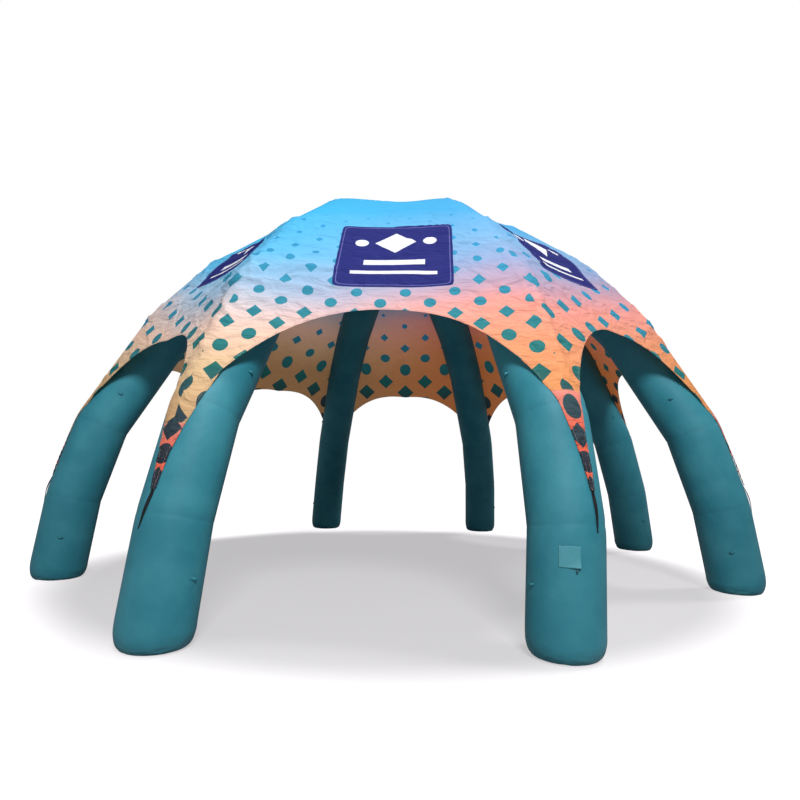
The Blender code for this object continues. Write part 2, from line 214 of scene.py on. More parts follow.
# One row a panel: how much lower its hem comes at the legs, how far the hem's arch leans to one
# side, and how far the cloth hangs in between the legs.
Panel = namedtuple("Panel", "hem_drop hem_lean sag")
PANELS = (
    Panel(0.00, -0.03, 0.050),
    Panel(-0.05, -0.10, 0.045),
    Panel(0.06, -0.03, 0.055),
    Panel(0.09, 0.02, 0.050),
    Panel(0.11, -0.02, 0.045),
    Panel(0.11, 0.03, 0.055),
    Panel(0.10, -0.02, 0.050),
    Panel(0.13, 0.02, 0.060),
)
HEM_TOP, HEM_DEPTH, HEM_STEEPNESS = 3.685, 0.148, 3.0
STRIP_SHARES = (0.0, 0.3, 0.6, 0.85, 1.0)
STRIP_HALF_WIDTHS = (0.115, 0.076, 0.047, 0.035, 0.030)
STRIP_END = 0.030
STRIP_PART = 0.16
LOOP_STATIONS = (4.305, 6.265)
VALVE_LEG = 1
print("legs", LEG_COUNT, "panels", len(PANELS), "sector", round(math.degrees(SECTOR), 1))

# %% [markdown]
# ## Helpers for nodes
# Materials and Geometry Nodes trees are both written node by node. A short helper makes a node
# and fills its sockets, from plain values or from other nodes. A number that comes out of a node
# is held as a Value, and plain arithmetic on it adds the Math nodes, so that each tree reads as
# a list of what it does.

# %% Write nodes
class Value:
    """A node's number, on which plain arithmetic adds Math nodes."""

    def __init__(self, socket):
        self.socket = socket
        self.tree = socket.id_data

    def __add__(self, other):
        return calc("ADD", self, other)

    def __sub__(self, other):
        return calc("SUBTRACT", self, other)

    def __rsub__(self, other):
        return calc("SUBTRACT", other, self)

    def __mul__(self, other):
        return calc("MULTIPLY", self, other)

    def __truediv__(self, other):
        return calc("DIVIDE", self, other)

    def __pow__(self, power):
        return calc("POWER", self, power)

    def __abs__(self):
        return calc("ABSOLUTE", self)

    def __round__(self):
        return calc("ROUND", self)

    def is_odd(self):
        """One for an odd whole number and nought for an even one."""
        return abs(calc("MODULO", self, 2.0))


def plug(socket, given):
    """Joins a socket to another node's output, or sets the socket's own value."""
    if isinstance(given, Value):
        given = given.socket
    if isinstance(given, bpy.types.NodeSocket):
        socket.id_data.links.new(given, socket)
    else:
        socket.default_value = given


def node(tree, kind, inputs=(), **settings):
    """One node, its settings and its sockets, by name or by number."""
    made = tree.nodes.new(kind)
    for setting, given in settings.items():
        setattr(made, setting, given)
    for key, given in dict(inputs).items():
        plug(made.inputs[key], given)
    return made


def read(tree, kind, output, inputs=(), **settings):
    """The number that one output of a new node gives."""
    return Value(node(tree, kind, inputs, **settings).outputs[output])


def calc(operation, *given):
    tree = next(part.tree for part in given if isinstance(part, Value))
    return read(tree, "ShaderNodeMath", 0, enumerate(given), operation=operation)


def vector_calc(tree, operation, first, second):
    """The number that a sum on two vectors gives, such as a distance."""
    return read(tree, "ShaderNodeVectorMath", "Value", {0: first, 1: second}, operation=operation)


def scaled(tree, vector, share):
    return node(tree, "ShaderNodeVectorMath", {0: vector, "Scale": share}, operation="SCALE").outputs[0]


def parts(tree, vector):
    """The three numbers that make up a vector."""
    return [Value(socket) for socket in node(tree, "ShaderNodeSeparateXYZ", {0: vector}).outputs]


def span(given, start, end, low=0.0, high=1.0, smooth=True):
    """A number carried from start..end to low..high and held there past the ends."""
    kind = "SMOOTHSTEP" if smooth else "LINEAR"
    sockets = {"Value": given, "From Min": start, "From Max": end, "To Min": low, "To Max": high}
    return read(given.tree, "ShaderNodeMapRange", "Result", sockets, interpolation_type=kind)


def between(share, first, second):
    """A number that goes from the first to the second as the share goes from 0 to 1."""
    return read(share.tree, "ShaderNodeMix", 0, {"Factor": share, "A": first, "B": second})


def noise(tree, place, scale, detail, **more):
    sockets = {"Vector": place, "Scale": scale, "Detail": detail, **more}
    return read(tree, "ShaderNodeTexNoise", "Fac", sockets)


def blend_colours(tree, share, first, second, way="MIX"):
    made = node(tree, "ShaderNodeMix", data_type="RGBA", blend_type=way)
    for label, given in (("Factor", share), ("A", first), ("B", second)):
        plug(next(s for s in made.inputs if s.name == label and s.enabled), given)
    return next(s for s in made.outputs if s.enabled)


def ramp(tree, place, stops):
    """A run of colours, one (place, colour) stop after another."""
    made = node(tree, "ShaderNodeValToRGB", {"Fac": place})
    elements = made.color_ramp.elements
    while len(elements) < len(stops):
        elements.new(1.0)
    for element, (position, _) in zip(elements, stops):
        element.position = position
    for element, (_, colour) in zip(elements, stops):
        element.color = colour
    return made.outputs["Color"]


def bump(tree, height, strength, distance, **more):
    sockets = {"Strength": strength, "Distance": distance, "Height": height, **more}
    return node(tree, "ShaderNodeBump", sockets).outputs["Normal"]


def own_place(tree):
    return node(tree, "ShaderNodeTexCoord").outputs["Object"]


def flat_map(tree, name="metres"):
    return node(tree, "ShaderNodeUVMap", uv_map=name).outputs["UV"]


# How much brighter the lamps show a colour than the cloth's own.
STUDIO_GAIN = 1.48


def shade(red, green, blue):
    """A colour as it looks under the lamps, 0 to 255, brought back to what the cloth reflects."""
    lit = (part / 255 for part in (red, green, blue))
    linear = (((c + 0.055) / 1.055) ** 2.4 if c > 0.04 else c / 12.92 for c in lit)
    return (*(c / STUDIO_GAIN for c in linear), 1.0)


def new_look(name, finish):
    look = bpy.data.materials.new(name)
    look.use_nodes = True
    shader = look.node_tree.nodes["Principled BSDF"]
    for socket, given in finish.items():
        shader.inputs[socket].default_value = given
    return look, look.node_tree, shader


# %% [markdown]
# ## The coated fabric of the legs
# The legs are a tight-woven polyester with an air-tight coat: matt, with a faint sheen, a weave
# that is only seen close up, and slightly uneven colour. The weld bands at the kinks are two
# layers thick and a shade darker. The colour grows up to a quarter brighter from the feet to the
# top, which is painted light for the stronger light that the upper legs catch. The feet are
# scuffed. The weave reads the leg's own map, in metres, so that it runs round and along the tube.

# %% Dye the coated fabric
WEAVE_PITCH = 0.0022


def coated_fabric(name, dark, light):
    look, tree, shader = new_look(name, {"Roughness": 0.55, "Specular IOR Level": 0.16})
    place = own_place(tree)
    height = parts(tree, place)[2]
    mottle = span(noise(tree, place, 2.3, 5.0), 0.32, 0.68)
    weld = read(tree, "ShaderNodeAttribute", "Fac", attribute_name="weld")
    scuff = span(height, 0.10, 0.0) * mottle
    colour = blend_colours(tree, mottle, dark, light)
    colour = blend_colours(tree, weld * 0.16, colour, shade(20, 62, 74))
    colour = blend_colours(tree, scuff * 0.22, colour, shade(96, 120, 122))
    # Up to a quarter brighter towards the top: painted light for the stronger light on the upper legs.
    plug(shader.inputs["Base Color"], scaled(tree, colour, span(height, 0.3, 3.2, 1.0, 1.25)))
    across, along, _ = parts(tree, scaled(tree, flat_map(tree), math.pi / WEAVE_PITCH))
    weave = abs(calc("SINE", across)) * abs(calc("SINE", along))
    soft = bump(tree, noise(tree, place, 9.0, 3.0), 0.35, 0.012)
    plug(shader.inputs["Normal"], bump(tree, weave, 0.2, 0.0006, Normal=soft))
    return look


LEG_FABRIC = coated_fabric("teal_coated_fabric", shade(38, 110, 125), shade(50, 121, 135))
FLAP_FABRIC = coated_fabric("pale_teal_patch", shade(61, 127, 139), shade(73, 138, 149))
print("fabrics", LEG_FABRIC.name, FLAP_FABRIC.name)

# %% [markdown]
# ## The printed cloth
# The canopy is thin polyester printed edge to edge: sky blue at the crown, lilac and rose
# halfway down, sand and coral at the hem, and warmer on the tent's right than on its left. Two
# plain motifs, a disc and a diamond, grow from nothing near the crown to a hand's length across
# at the hem. The corner strips are coral and have the same motifs in a row of their own. Three
# front gores carry an indigo card with a fine border and a plain badge. The maps hold metres
# across and down, so every motif is drawn by sums on them and keeps its shape. Cloth this thin
# lets light through, so the shader is part Translucent. The inner side has a look of its own:
# it is tinted warmer and a little darker and given a faint glow, which are painted light for the
# light that comes through from outside. The hem binding is printed darker, a painted shadow.

# %% Print the cloth
COLUMN_PITCH, ROW_PITCH = 0.25, 0.30
TAIL_STATION, TAIL_ROW_PITCH = 4.70, 0.235
CARD_HALF_WIDTH, CARD_HALF_HEIGHT = 0.63, 0.58
FADE_LENGTH = 6.0

# Each run of colours goes by metres down the cloth from the hub.
LEFT_FADE = (
    (0.0, shade(46, 172, 218)),
    (2.0, shade(70, 190, 238)),
    (2.9, shade(104, 198, 242)),
    (3.4, shade(176, 206, 232)),
    (3.72, shade(228, 214, 214)),
    (4.0, shade(250, 216, 196)),
    (4.5, shade(232, 200, 158)),
    (5.0, shade(214, 172, 124)),
)
RIGHT_FADE = (
    (0.0, shade(48, 168, 214)),
    (1.9, shade(84, 178, 230)),
    (2.6, shade(134, 186, 228)),
    (3.1, shade(160, 174, 212)),
    (3.4, shade(206, 166, 184)),
    (3.65, shade(248, 166, 154)),
    (4.1, shade(244, 164, 124)),
    (4.7, shade(236, 160, 100)),
)
TAIL_FADE = ((TAIL_STATION, shade(238, 148, 134)), (5.0, shade(236, 106, 80)))
INK_FADE = (
    (1.2, shade(56, 160, 226)),
    (2.64, shade(62, 160, 210)),
    (3.36, shade(64, 154, 184)),
    (3.9, shade(56, 138, 146)),
    (4.38, shade(46, 122, 116)),
    (4.8, shade(62, 84, 92)),
    (5.28, shade(58, 62, 72)),
)


def fade(down, stops):
    shares = [(metres / FADE_LENGTH, colour) for metres, colour in stops]
    return ramp(down.tree, down / FADE_LENGTH, shares)


def ground_colour(tree, place, down):
    """The print's ground, and a mask of the corner strips' ends."""
    x, y, _ = parts(tree, place)
    stray = calc("MULTIPLY_ADD", noise(tree, place, 0.7, 3.0), 0.5, -0.25)
    early = span(y, -3.2, -0.6, 0.0, 0.9, smooth=False) + span(y, 0.4, 2.2, 0.0, 0.75) + stray
    left, right = (fade(down + early, stops) for stops in (LEFT_FADE, RIGHT_FADE))
    body = blend_colours(tree, span(x, -1.9, 1.5), left, right)
    tail = down + span(x, -1.0, 1.0, -0.30, 0.0)
    is_tail = span(tail, TAIL_STATION - 0.01, TAIL_STATION + 0.01)
    return blend_colours(tree, is_tail, body, fade(tail, TAIL_FADE)), is_tail


def motifs(across, down, row_pitch, growth, fullness=1.0):
    """A mask of discs and diamonds in columns, every other column half a row lower."""
    column = round(across / COLUMN_PITCH)
    shift = column.is_odd() * 0.5
    step = down / row_pitch + shift
    row = round(step)
    aside = abs(across - column * COLUMN_PITCH)
    along = abs((step - row) * row_pitch)
    middle = (row - shift) * row_pitch * growth
    upper = span(middle, 1.2, 3.1, 0.0, 0.051, smooth=False)
    radius = (upper + span(middle, 3.1, 5.0, 0.0, 0.043, smooth=False)) * fullness
    disc = calc("SQRT", aside**2.0 + along**2.0)
    reach = between(row.is_odd(), disc, (aside + along) * 0.80)
    return span(radius - reach, -0.002, 0.002)


def card(tree, inset):
    """A mask of a card with rounded corners, drawn in by an inset."""
    x, y, _ = parts(tree, flat_map(tree, "card"))
    corner = 24.0
    away_x = abs(x / (CARD_HALF_WIDTH - inset)) ** corner
    away_y = abs(y / (CARD_HALF_HEIGHT - inset)) ** corner
    return span(away_x + away_y, 1.08, 0.92)


def badge(tree):
    """A mask of a plain badge: a diamond between two discs, over two bars."""
    x, y, _ = parts(tree, flat_map(tree, "card"))
    aside, along = abs(x), abs(y + 0.20)
    disc = 0.075 - calc("SQRT", abs(aside - 0.38) ** 2.0 + along**2.0)
    inside = calc("MAXIMUM", 0.23 - (aside + along), disc)
    for middle, half_height, half_width in ((0.22, 0.045, 0.33), (0.38, 0.022, 0.46)):
        bar = calc("MINIMUM", half_height - abs(y - middle), half_width - aside)
        inside = calc("MAXIMUM", inside, bar)
    return span(inside, -0.003, 0.003)


def add_card(tree, colour):
    border = (card(tree, 0.028) - card(tree, 0.036)) * 0.5
    colour = blend_colours(tree, card(tree, 0.0), colour, shade(46, 50, 122))
    colour = blend_colours(tree, border, colour, shade(150, 152, 214))
    return blend_colours(tree, badge(tree), colour, shade(246, 247, 252))


def crumpled(tree, place, flat, down):
    """Small waves along the sloping cloth and softer ones over the top, under a fine weave."""
    stretched = node(tree, "ShaderNodeMapping", {"Vector": flat, "Scale": (3.2, 8.0, 1.0)}).outputs[0]
    top = noise(tree, place, 2.4, 4.0) * 0.6
    crumple = between(span(down, 0.9, 2.3), top, noise(tree, stretched, 1.0, 4.0, Distortion=0.8))
    soft = bump(tree, crumple, 0.8, 0.075)
    return bump(tree, noise(tree, flat, 420.0, 1.0), 0.12, 0.0008, Normal=soft)


def printed_cloth(name, thinness, dim=None, painted_glow=0.0, carded=False, ink_lead=0.0):
    """The print as one side of the cloth shows it. An ink lead makes the motifs greener sooner. A dim darkens and
    tints it as painted shade, and a glow is painted light.
    """
    look, tree, shader = new_look(name, {"Roughness": 0.65, "Specular IOR Level": 0.03})
    place, flat = own_place(tree), flat_map(tree)
    across, down, _ = parts(tree, flat)
    growth = node(tree, "ShaderNodeAttribute", attribute_name="print_growth").outputs["Vector"]
    wide, tall, full = parts(tree, growth)
    from_ridge = parts(tree, flat_map(tree, "ridge"))[0]
    body = motifs(across / wide, down / tall, ROW_PITCH, tall, full)
    end = motifs(from_ridge, down - TAIL_ROW_PITCH / 2, TAIL_ROW_PITCH, 1.0)
    ground, is_tail = ground_colour(tree, place, down)
    colour = blend_colours(tree, between(is_tail, body, end), ground, fade(down + ink_lead, INK_FADE))
    if carded:
        colour = add_card(tree, colour)
    if dim:
        colour = blend_colours(tree, 1.0, colour, (*dim, 1.0), way="MULTIPLY")
    plug(shader.inputs["Base Color"], colour)
    if painted_glow:
        plug(shader.inputs["Emission Color"], colour)
        shader.inputs["Emission Strength"].default_value = painted_glow
    normal = crumpled(tree, place, flat, down)
    plug(shader.inputs["Normal"], normal)
    through = node(tree, "ShaderNodeBsdfTranslucent", {"Color": colour, "Normal": normal})
    both = node(tree, "ShaderNodeMixShader", {0: thinness, 1: shader.outputs[0], 2: through.outputs[0]})
    plug(tree.nodes["Material Output"].inputs["Surface"], both.outputs[0])
    return look


GORE_CLOTH = printed_cloth("printed_canopy_cloth", 0.30, carded=True)
# The inner side is tinted warmer and darker and glows faintly: painted light for the light that comes through the
# cloth.
GORE_BACK = printed_cloth("printed_cloth_back", 0.45, dim=(1.0, 0.92, 0.90), painted_glow=0.47, ink_lead=0.9)
# The binding is printed darker, a painted shadow along the hem's edge.
HEM_CLOTH = printed_cloth("hem_binding_cloth", 0.2, dim=(0.84, 0.82, 0.82))
print("cloths", GORE_CLOTH.name, GORE_BACK.name, HEM_CLOTH.name)

# %% [markdown]
# ## Webbing, thread and plastic
# The straps are woven flat, so their ribs run along them. Each rib is bumped, and its colour is
# lighter on the rib and darker between ribs, a painted highlight and painted shade. Thread
# is polyester, paler than the cloth. The valve is a moulded plastic with a satin skin.

# %% Make the small finishes
def ribbed_webbing():
    look, tree, shader = new_look("black_webbing", {"Roughness": 0.7, "Specular IOR Level": 0.15})
    flat = flat_map(tree)
    rows, ribs = (
        read(tree, "ShaderNodeTexWave", "Fac", {"Vector": flat, "Scale": scale}, bands_direction=way)
        for way, scale in (("Y", 95.0), ("X", 60.0))
    )
    both = rows + ribs
    # Lighter on the ribs and darker between them: a painted highlight and painted shade.
    colour = blend_colours(tree, span(both, 0.2, 1.8), shade(7, 8, 11), shade(26, 27, 32))
    plug(shader.inputs["Base Color"], colour)
    plug(shader.inputs["Normal"], bump(tree, both, 0.5, 0.0006))
    return look


def plain_look(name, dark, light, scale, roughness):
    look, tree, shader = new_look(name, {"Roughness": roughness})
    grain = noise(tree, own_place(tree), scale, 4.0)
    plug(shader.inputs["Base Color"], blend_colours(tree, span(grain, 0.35, 0.65), dark, light))
    plug(shader.inputs["Normal"], bump(tree, grain, 0.15, 0.0005))
    return look


WEBBING = ribbed_webbing()
THREAD = plain_look("sewing_thread", shade(176, 160, 156), shade(200, 184, 176), 300.0, 0.6)
PLASTIC = plain_look("dark_valve_plastic", shade(16, 66, 78), shade(24, 80, 92), 160.0, 0.4)
print("small finishes", WEBBING.name, THREAD.name, PLASTIC.name)

# %% [markdown]
# ## Camera, ground and light
# The tent stands on a white ground before a white sky, seen from a standing person's height
# outside the front archway. The ground glows, but less in a soft disc under the tent than round
# it, which is a painted shadow, pale and even. To the lamps' light the ground and the sky are
# duller than they look, because so much white would flatten the cloth. A high key lamp lights the
# front, a broad one fills in the left side, and a sun stands high, a little behind and to the right.

# %% Set the stage
def split_by_eye(tree, end, unseen, seen):
    """One shader for what the eye sees and another for the light that bounces about."""
    eye = node(tree, "ShaderNodeLightPath").outputs["Is Camera Ray"]
    both = node(tree, "ShaderNodeMixShader", {0: eye, 1: unseen.outputs[0], 2: seen.outputs[0]})
    plug(tree.nodes[end].inputs["Surface"], both.outputs[0])


# The painted shadow on the ground: its middle, where it starts and stops to fade, and both glows.
PAINTED_SHADOW_MIDDLE, PAINTED_SHADOW_FADE, PAINTED_SHADOW_GLOWS = (0.0, -0.55, 0.0), (4.0, 4.9), (0.50, 0.97)


def pale_floor():
    finish = {
        "Base Color": (0.12, 0.118, 0.12, 1.0),
        "Roughness": 0.95,
        "Specular IOR Level": 0.0,
        "Emission Color": (1.0, 0.98, 1.0, 1.0),
    }
    look, tree, shader = new_look("pale_ground", finish)
    off_middle = vector_calc(tree, "DISTANCE", own_place(tree), PAINTED_SHADOW_MIDDLE)
    # Less glow inside the disc round the tent's middle: a painted shadow.
    plug(shader.inputs["Emission Strength"], span(off_middle, *PAINTED_SHADOW_FADE, *PAINTED_SHADOW_GLOWS))
    dull = node(tree, "ShaderNodeBsdfDiffuse", {"Color": (0.30, 0.30, 0.31, 1.0)})
    split_by_eye(tree, "Material Output", dull, shader)
    return look


def white_sky(ambient):
    white = (1.0, 1.0, 1.0, 1.0)
    sky = bpy.data.worlds.new("white_sky")
    sky.use_nodes = True
    tree = sky.node_tree
    dim = tree.nodes["Background"]
    dim.inputs["Color"].default_value = white
    dim.inputs["Strength"].default_value = ambient
    seen = node(tree, "ShaderNodeBackground", {"Color": white, "Strength": 1.0})
    split_by_eye(tree, "World Output", dim, seen)
    return sky


def link(name, data):
    """A new object in the scene."""
    made = bpy.data.objects.new(name, data)
    bpy.context.collection.objects.link(made)
    return made


def look_from(name, place, turn, lens):
    eye = bpy.data.cameras.new(name)
    eye.lens, eye.sensor_width, eye.clip_end = lens, 36.0, 200.0
    camera = link(name, eye)
    camera.location, camera.rotation_euler = place, turn
    return camera


def add_lamp(name, kind, place, target, power, **settings):
    lamp = bpy.data.lights.new(name, kind)
    lamp.energy = power
    for setting, given in settings.items():
        setattr(lamp, setting, given)
    holder = link(name, lamp)
    holder.location = place
    holder.rotation_euler = (Vector(target) - Vector(place)).to_track_quat("-Z", "Y").to_euler()


bpy.context.scene.camera = look_from(
    "eye", (0.4741, -9.3491, 1.5858), (1.6725, -0.0140, 0.0442), 26.2003
)
bpy.context.scene.view_settings.view_transform = "Standard"
add_lamp("overhead", "SUN", (4.2, 2.2, 12.0), (0.0, 0.0, 0.0), 2.5, angle=math.radians(9))
add_lamp("key", "AREA", (2.5, -14.5, 12.5), (0.0, 0.0, 2.4), 3900.0, size=4.0)
add_lamp("fill", "AREA", (-11.0, -14.0, 4.0), (-1.0, 0.0, 2.4), 320.0, size=6.0)
bpy.context.scene.world = white_sky(0.30)
bpy.ops.mesh.primitive_plane_add(size=160.0, location=(0.0, 0.0, -0.004))
ground = bpy.context.object
ground.name = "ground"
ground.data.materials.append(pale_floor())
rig.stage(ground)
print("camera", bpy.context.scene.camera.name, "lamps 3")

# %% [markdown]
# ## A leg's bent centre line
# A leg is welded from straight tube lengths, and air rounds each kink a little. So its centre
# line is the bent line through the kinks, averaged over a hand's length. The ridge is the way
# out of the tube's back, and the side is the way round it. The line is carried on to the middle
# of the hub, because the canopy goes on over the top there.

# %% Bend the centre lines
LINE_STEP = 0.01
SPARE_STEPS = 40
# The length that each kink is averaged over, by station: most at the shoulder.
EASING_STATIONS = (-0.84, 0.0, SHOULDER, UPPER_ELBOW, LOWER_ELBOW, KNEE, 7.0)
EASINGS = (0.18, 0.30, 0.64, 0.40, 0.28, 0.18, 0.16)


def unit(vectors):
    return vectors / np.linalg.norm(vectors, axis=-1, keepdims=True)


class CentreLine:
    """Centres, ridges and sides along one leg that lies over +X, by station."""

    def __init__(self, foot_out=0.0, foot_aside=0.0):
        kinks = np.array([(0.0, 0.0, TOP_HEIGHT)] + [(reach, 0.0, height) for reach, height in KINKS])
        kinks[-1] += np.array((foot_out, foot_aside, 0.0)) * ANKLE_SHARE
        foot = np.array((FOOT_REACH + foot_out, foot_aside, 0.0))
        kinks = np.vstack([kinks, foot + (0.0, 0.0, FOOT_RIM), foot])
        lengths = np.linalg.norm(np.diff(kinks, axis=0), axis=1)
        marks = np.concatenate([[0.0], np.cumsum(lengths)]) - HUB_REACH
        self.end = marks[-1]
        count = int(round((self.end + HUB_REACH) / LINE_STEP)) + 1
        self.station = np.linspace(-HUB_REACH, self.end, count)
        line = np.stack([np.interp(self.station, marks, kinks[:, k]) for k in range(3)], axis=1)
        before = 2 * line[0] - line[SPARE_STEPS:0:-1]
        after = 2 * line[-1] - line[-2 : -2 - SPARE_STEPS : -1]
        padded = np.vstack([before, line, after])
        run = np.vstack([np.zeros(3), np.cumsum((padded[1:] + padded[:-1]) / 2, axis=0)])
        half = np.interp(self.station, EASING_STATIONS, EASINGS) / (self.station[1] - self.station[0]) / 2
        middle, marks = np.arange(count) + SPARE_STEPS, np.arange(len(run))
        ahead, behind = (
            np.stack([np.interp(middle + way * half, marks, run[:, k]) for k in range(3)], axis=1)
            for way in (1, -1)
        )
        self.centre = (ahead - behind) / (2 * half)[:, None]
        heading = unit(np.gradient(self.centre, axis=0))
        self.side = unit(np.array((0.0, 1.0, 0.0)) - heading * heading[:, 1:2])
        self.ridge = unit(np.cross(heading, self.side))

    def at(self, station):
        """Centre, ridge and side at each of the stations."""
        return [
            np.stack([np.interp(station, self.station, rows[:, k]) for k in range(3)], axis=-1)
            for rows in (self.centre, self.ridge, self.side)
        ]


PLAIN_LINE = CentreLine()
LINES = [CentreLine(leg.foot_out, leg.foot_aside) for leg in LEGS]


def turned(leg, places):
    """Places given for a leg over +X, turned to where that leg stands."""
    angle = FIRST_LEG_ANGLE + leg * SECTOR
    c, s = math.cos(angle), math.sin(angle)
    x, y, z = places[..., 0], places[..., 1], places[..., 2]
    return np.stack([x * c - y * s, x * s + y * c, z], axis=-1)


def outward(ridge, side, turn):
    """The way out of the tube at a turn from its ridge."""
    turn = np.asarray(turn)[..., None]
    return np.cos(turn) * ridge + np.sin(turn) * side


def on_tube(leg, station, turn, lift):
    """Places on a leg's skin or off it, in the tent's frame."""
    centre, ridge, side = LINES[leg].at(station)
    return turned(leg, centre + (TUBE_RADIUS + np.asarray(lift))[..., None] * outward(ridge, side, turn))


print("line", len(PLAIN_LINE.station), "points, foot at station", round(PLAIN_LINE.end, 3))

# %% [markdown]
# ## Meshes and trees
# A sheet is a grid of places. It gets its faces, its maps and its finish, and Solidify then gives
# it a thickness and closes its edge. A Geometry Nodes tree is run as a modifier on a carrier
# mesh, whose vertices hold what the tree reads, and its sizes are set by each socket's
# identifier before the first evaluation. Either result is kept as a plain mesh.

# %% Make meshes and run trees
def quads(grid):
    """The faces between the rows and columns of a grid of vertex numbers."""
    return np.stack([grid[:-1, :-1], grid[1:, :-1], grid[1:, 1:], grid[:-1, 1:]], axis=-1).reshape(-1, 4)


def numbered(rows, columns):
    return np.arange(rows * columns).reshape(rows, columns)


def new_mesh(name, places, faces, *looks):
    mesh = bpy.data.meshes.new(name)
    mesh.from_pydata(np.reshape(places, (-1, 3)).tolist(), [], faces)
    for look in looks:
        mesh.materials.append(look)
    mesh.shade_smooth()
    return mesh


def places_of(mesh):
    places = np.empty(3 * len(mesh.vertices))
    mesh.vertices.foreach_get("co", places)
    return places.reshape(-1, 3)


def give_map(mesh, across, down, name="metres"):
    """A map in metres from each vertex's place across and down."""
    corners = np.empty(len(mesh.loops), dtype=int)
    mesh.loops.foreach_get("vertex_index", corners)
    flat = np.stack([np.ravel(across)[corners], np.ravel(down)[corners]], axis=1)
    mesh.uv_layers.new(name=name).data.foreach_set("uv", flat.ravel())


def freeze(piece):
    """Keeps what the piece's modifiers make as a plain mesh."""
    graph = bpy.context.evaluated_depsgraph_get()
    mesh = bpy.data.meshes.new_from_object(
        piece.evaluated_get(graph), preserve_all_data_layers=True, depsgraph=graph
    )
    piece.modifiers.clear()
    piece.data = mesh
    mesh.name = piece.name
    return piece


def thicken(mesh, thickness, offset, **settings):
    """A sheet made into cloth: outward for an offset of 1, inward for -1, both ways for 0."""
    piece = link(mesh.name, mesh)
    cloth = piece.modifiers.new("cloth", "SOLIDIFY")
    cloth.thickness, cloth.offset = thickness, offset
    for setting, given in settings.items():
        setattr(cloth, setting, given)
    return freeze(piece)


def triangles(piece):
    return sum(len(face.vertices) - 2 for face in piece.data.polygons)


def new_tree(name, sizes):
    tree = bpy.data.node_groups.new(name, "GeometryNodeTree")
    tree.interface.new_socket("Geometry", in_out="INPUT", socket_type="NodeSocketGeometry")
    tree.interface.new_socket("Geometry", in_out="OUTPUT", socket_type="NodeSocketGeometry")
    for label, size in sizes.items():
        kind = "NodeSocketInt" if isinstance(size, int) else "NodeSocketFloat"
        tree.interface.new_socket(label, in_out="INPUT", socket_type=kind).default_value = size
    return tree, {socket.name: Value(socket) for socket in node(tree, "NodeGroupInput").outputs}


def close_tree(tree, geometry, look):
    """Every tree ends in real geometry with its material."""
    real = node(tree, "GeometryNodeRealizeInstances", {0: geometry})
    dressed = node(tree, "GeometryNodeSetMaterial", {"Geometry": real.outputs[0], "Material": look})
    node(tree, "NodeGroupOutput", {0: dressed.outputs[0]})


def field(tree, name, kind="FLOAT"):
    made = node(tree, "GeometryNodeInputNamedAttribute", {"Name": name}, data_type=kind)
    return Value(next(s for s in made.outputs if s.enabled and s.name == "Attribute"))


def carrier(name, points, edges, fields):
    """A bare line or a few points, whose vertices hold the fields that a tree reads."""
    mesh = bpy.data.meshes.new(name)
    mesh.from_pydata([tuple(point) for point in points], edges, [])
    for label, values in fields.items():
        vector = np.ndim(values) == 2
        data = mesh.attributes.new(label, "FLOAT_VECTOR" if vector else "FLOAT", "POINT").data
        data.foreach_set("vector" if vector else "value", np.asarray(values, dtype=float).ravel())
    return link(name, mesh)


def run_tree(piece, tree, sizes):
    modifier = piece.modifiers.new(tree.name, "NODES")
    modifier.node_group = tree
    for socket in tree.interface.items_tree:
        if socket.in_out == "INPUT" and socket.name in sizes:
            modifier[socket.identifier] = sizes[socket.name]
    return freeze(piece)


print("a sheet of 3 by 4 places has", len(quads(numbered(3, 4))), "faces")

# %% [markdown]
# ## The air legs
# A leg is a circle carried along its centre line, which is what Curve to Mesh does. The carrier
# is the bare line. Each of its points holds how far the tube has swollen there, how near it is
# to a weld and how much the cloth is gathered, and the tree reads those to pinch the welds and
# to draw small puckers where flat cloth was sewn round a curve.

# %% Sweep the legs
# Each skin stays just inside its solid.
SKIN_GAP = 0.0005
LEG_SIZES = {
    "Radius": TUBE_RADIUS - SKIN_GAP,
    "Sides": 56,
    "Weld Depth": 0.0025,
    "Pucker Depth": 0.010,
    "Pucker Count": 7.0,
}
WELDS = (SHOULDER, UPPER_ELBOW, LOWER_ELBOW, KNEE, ANKLE)
# How far apart the rings are near a weld and elsewhere, and how far from a weld they are close.
FINE_STEP, PLAIN_STEP, FINE_REACH = 0.012, 0.045, 0.04
# At the foot's end they are a share of the way left apart, but no less than the shortest step.
RIM_SHARE, SHORTEST_STEP = 0.16, 0.004


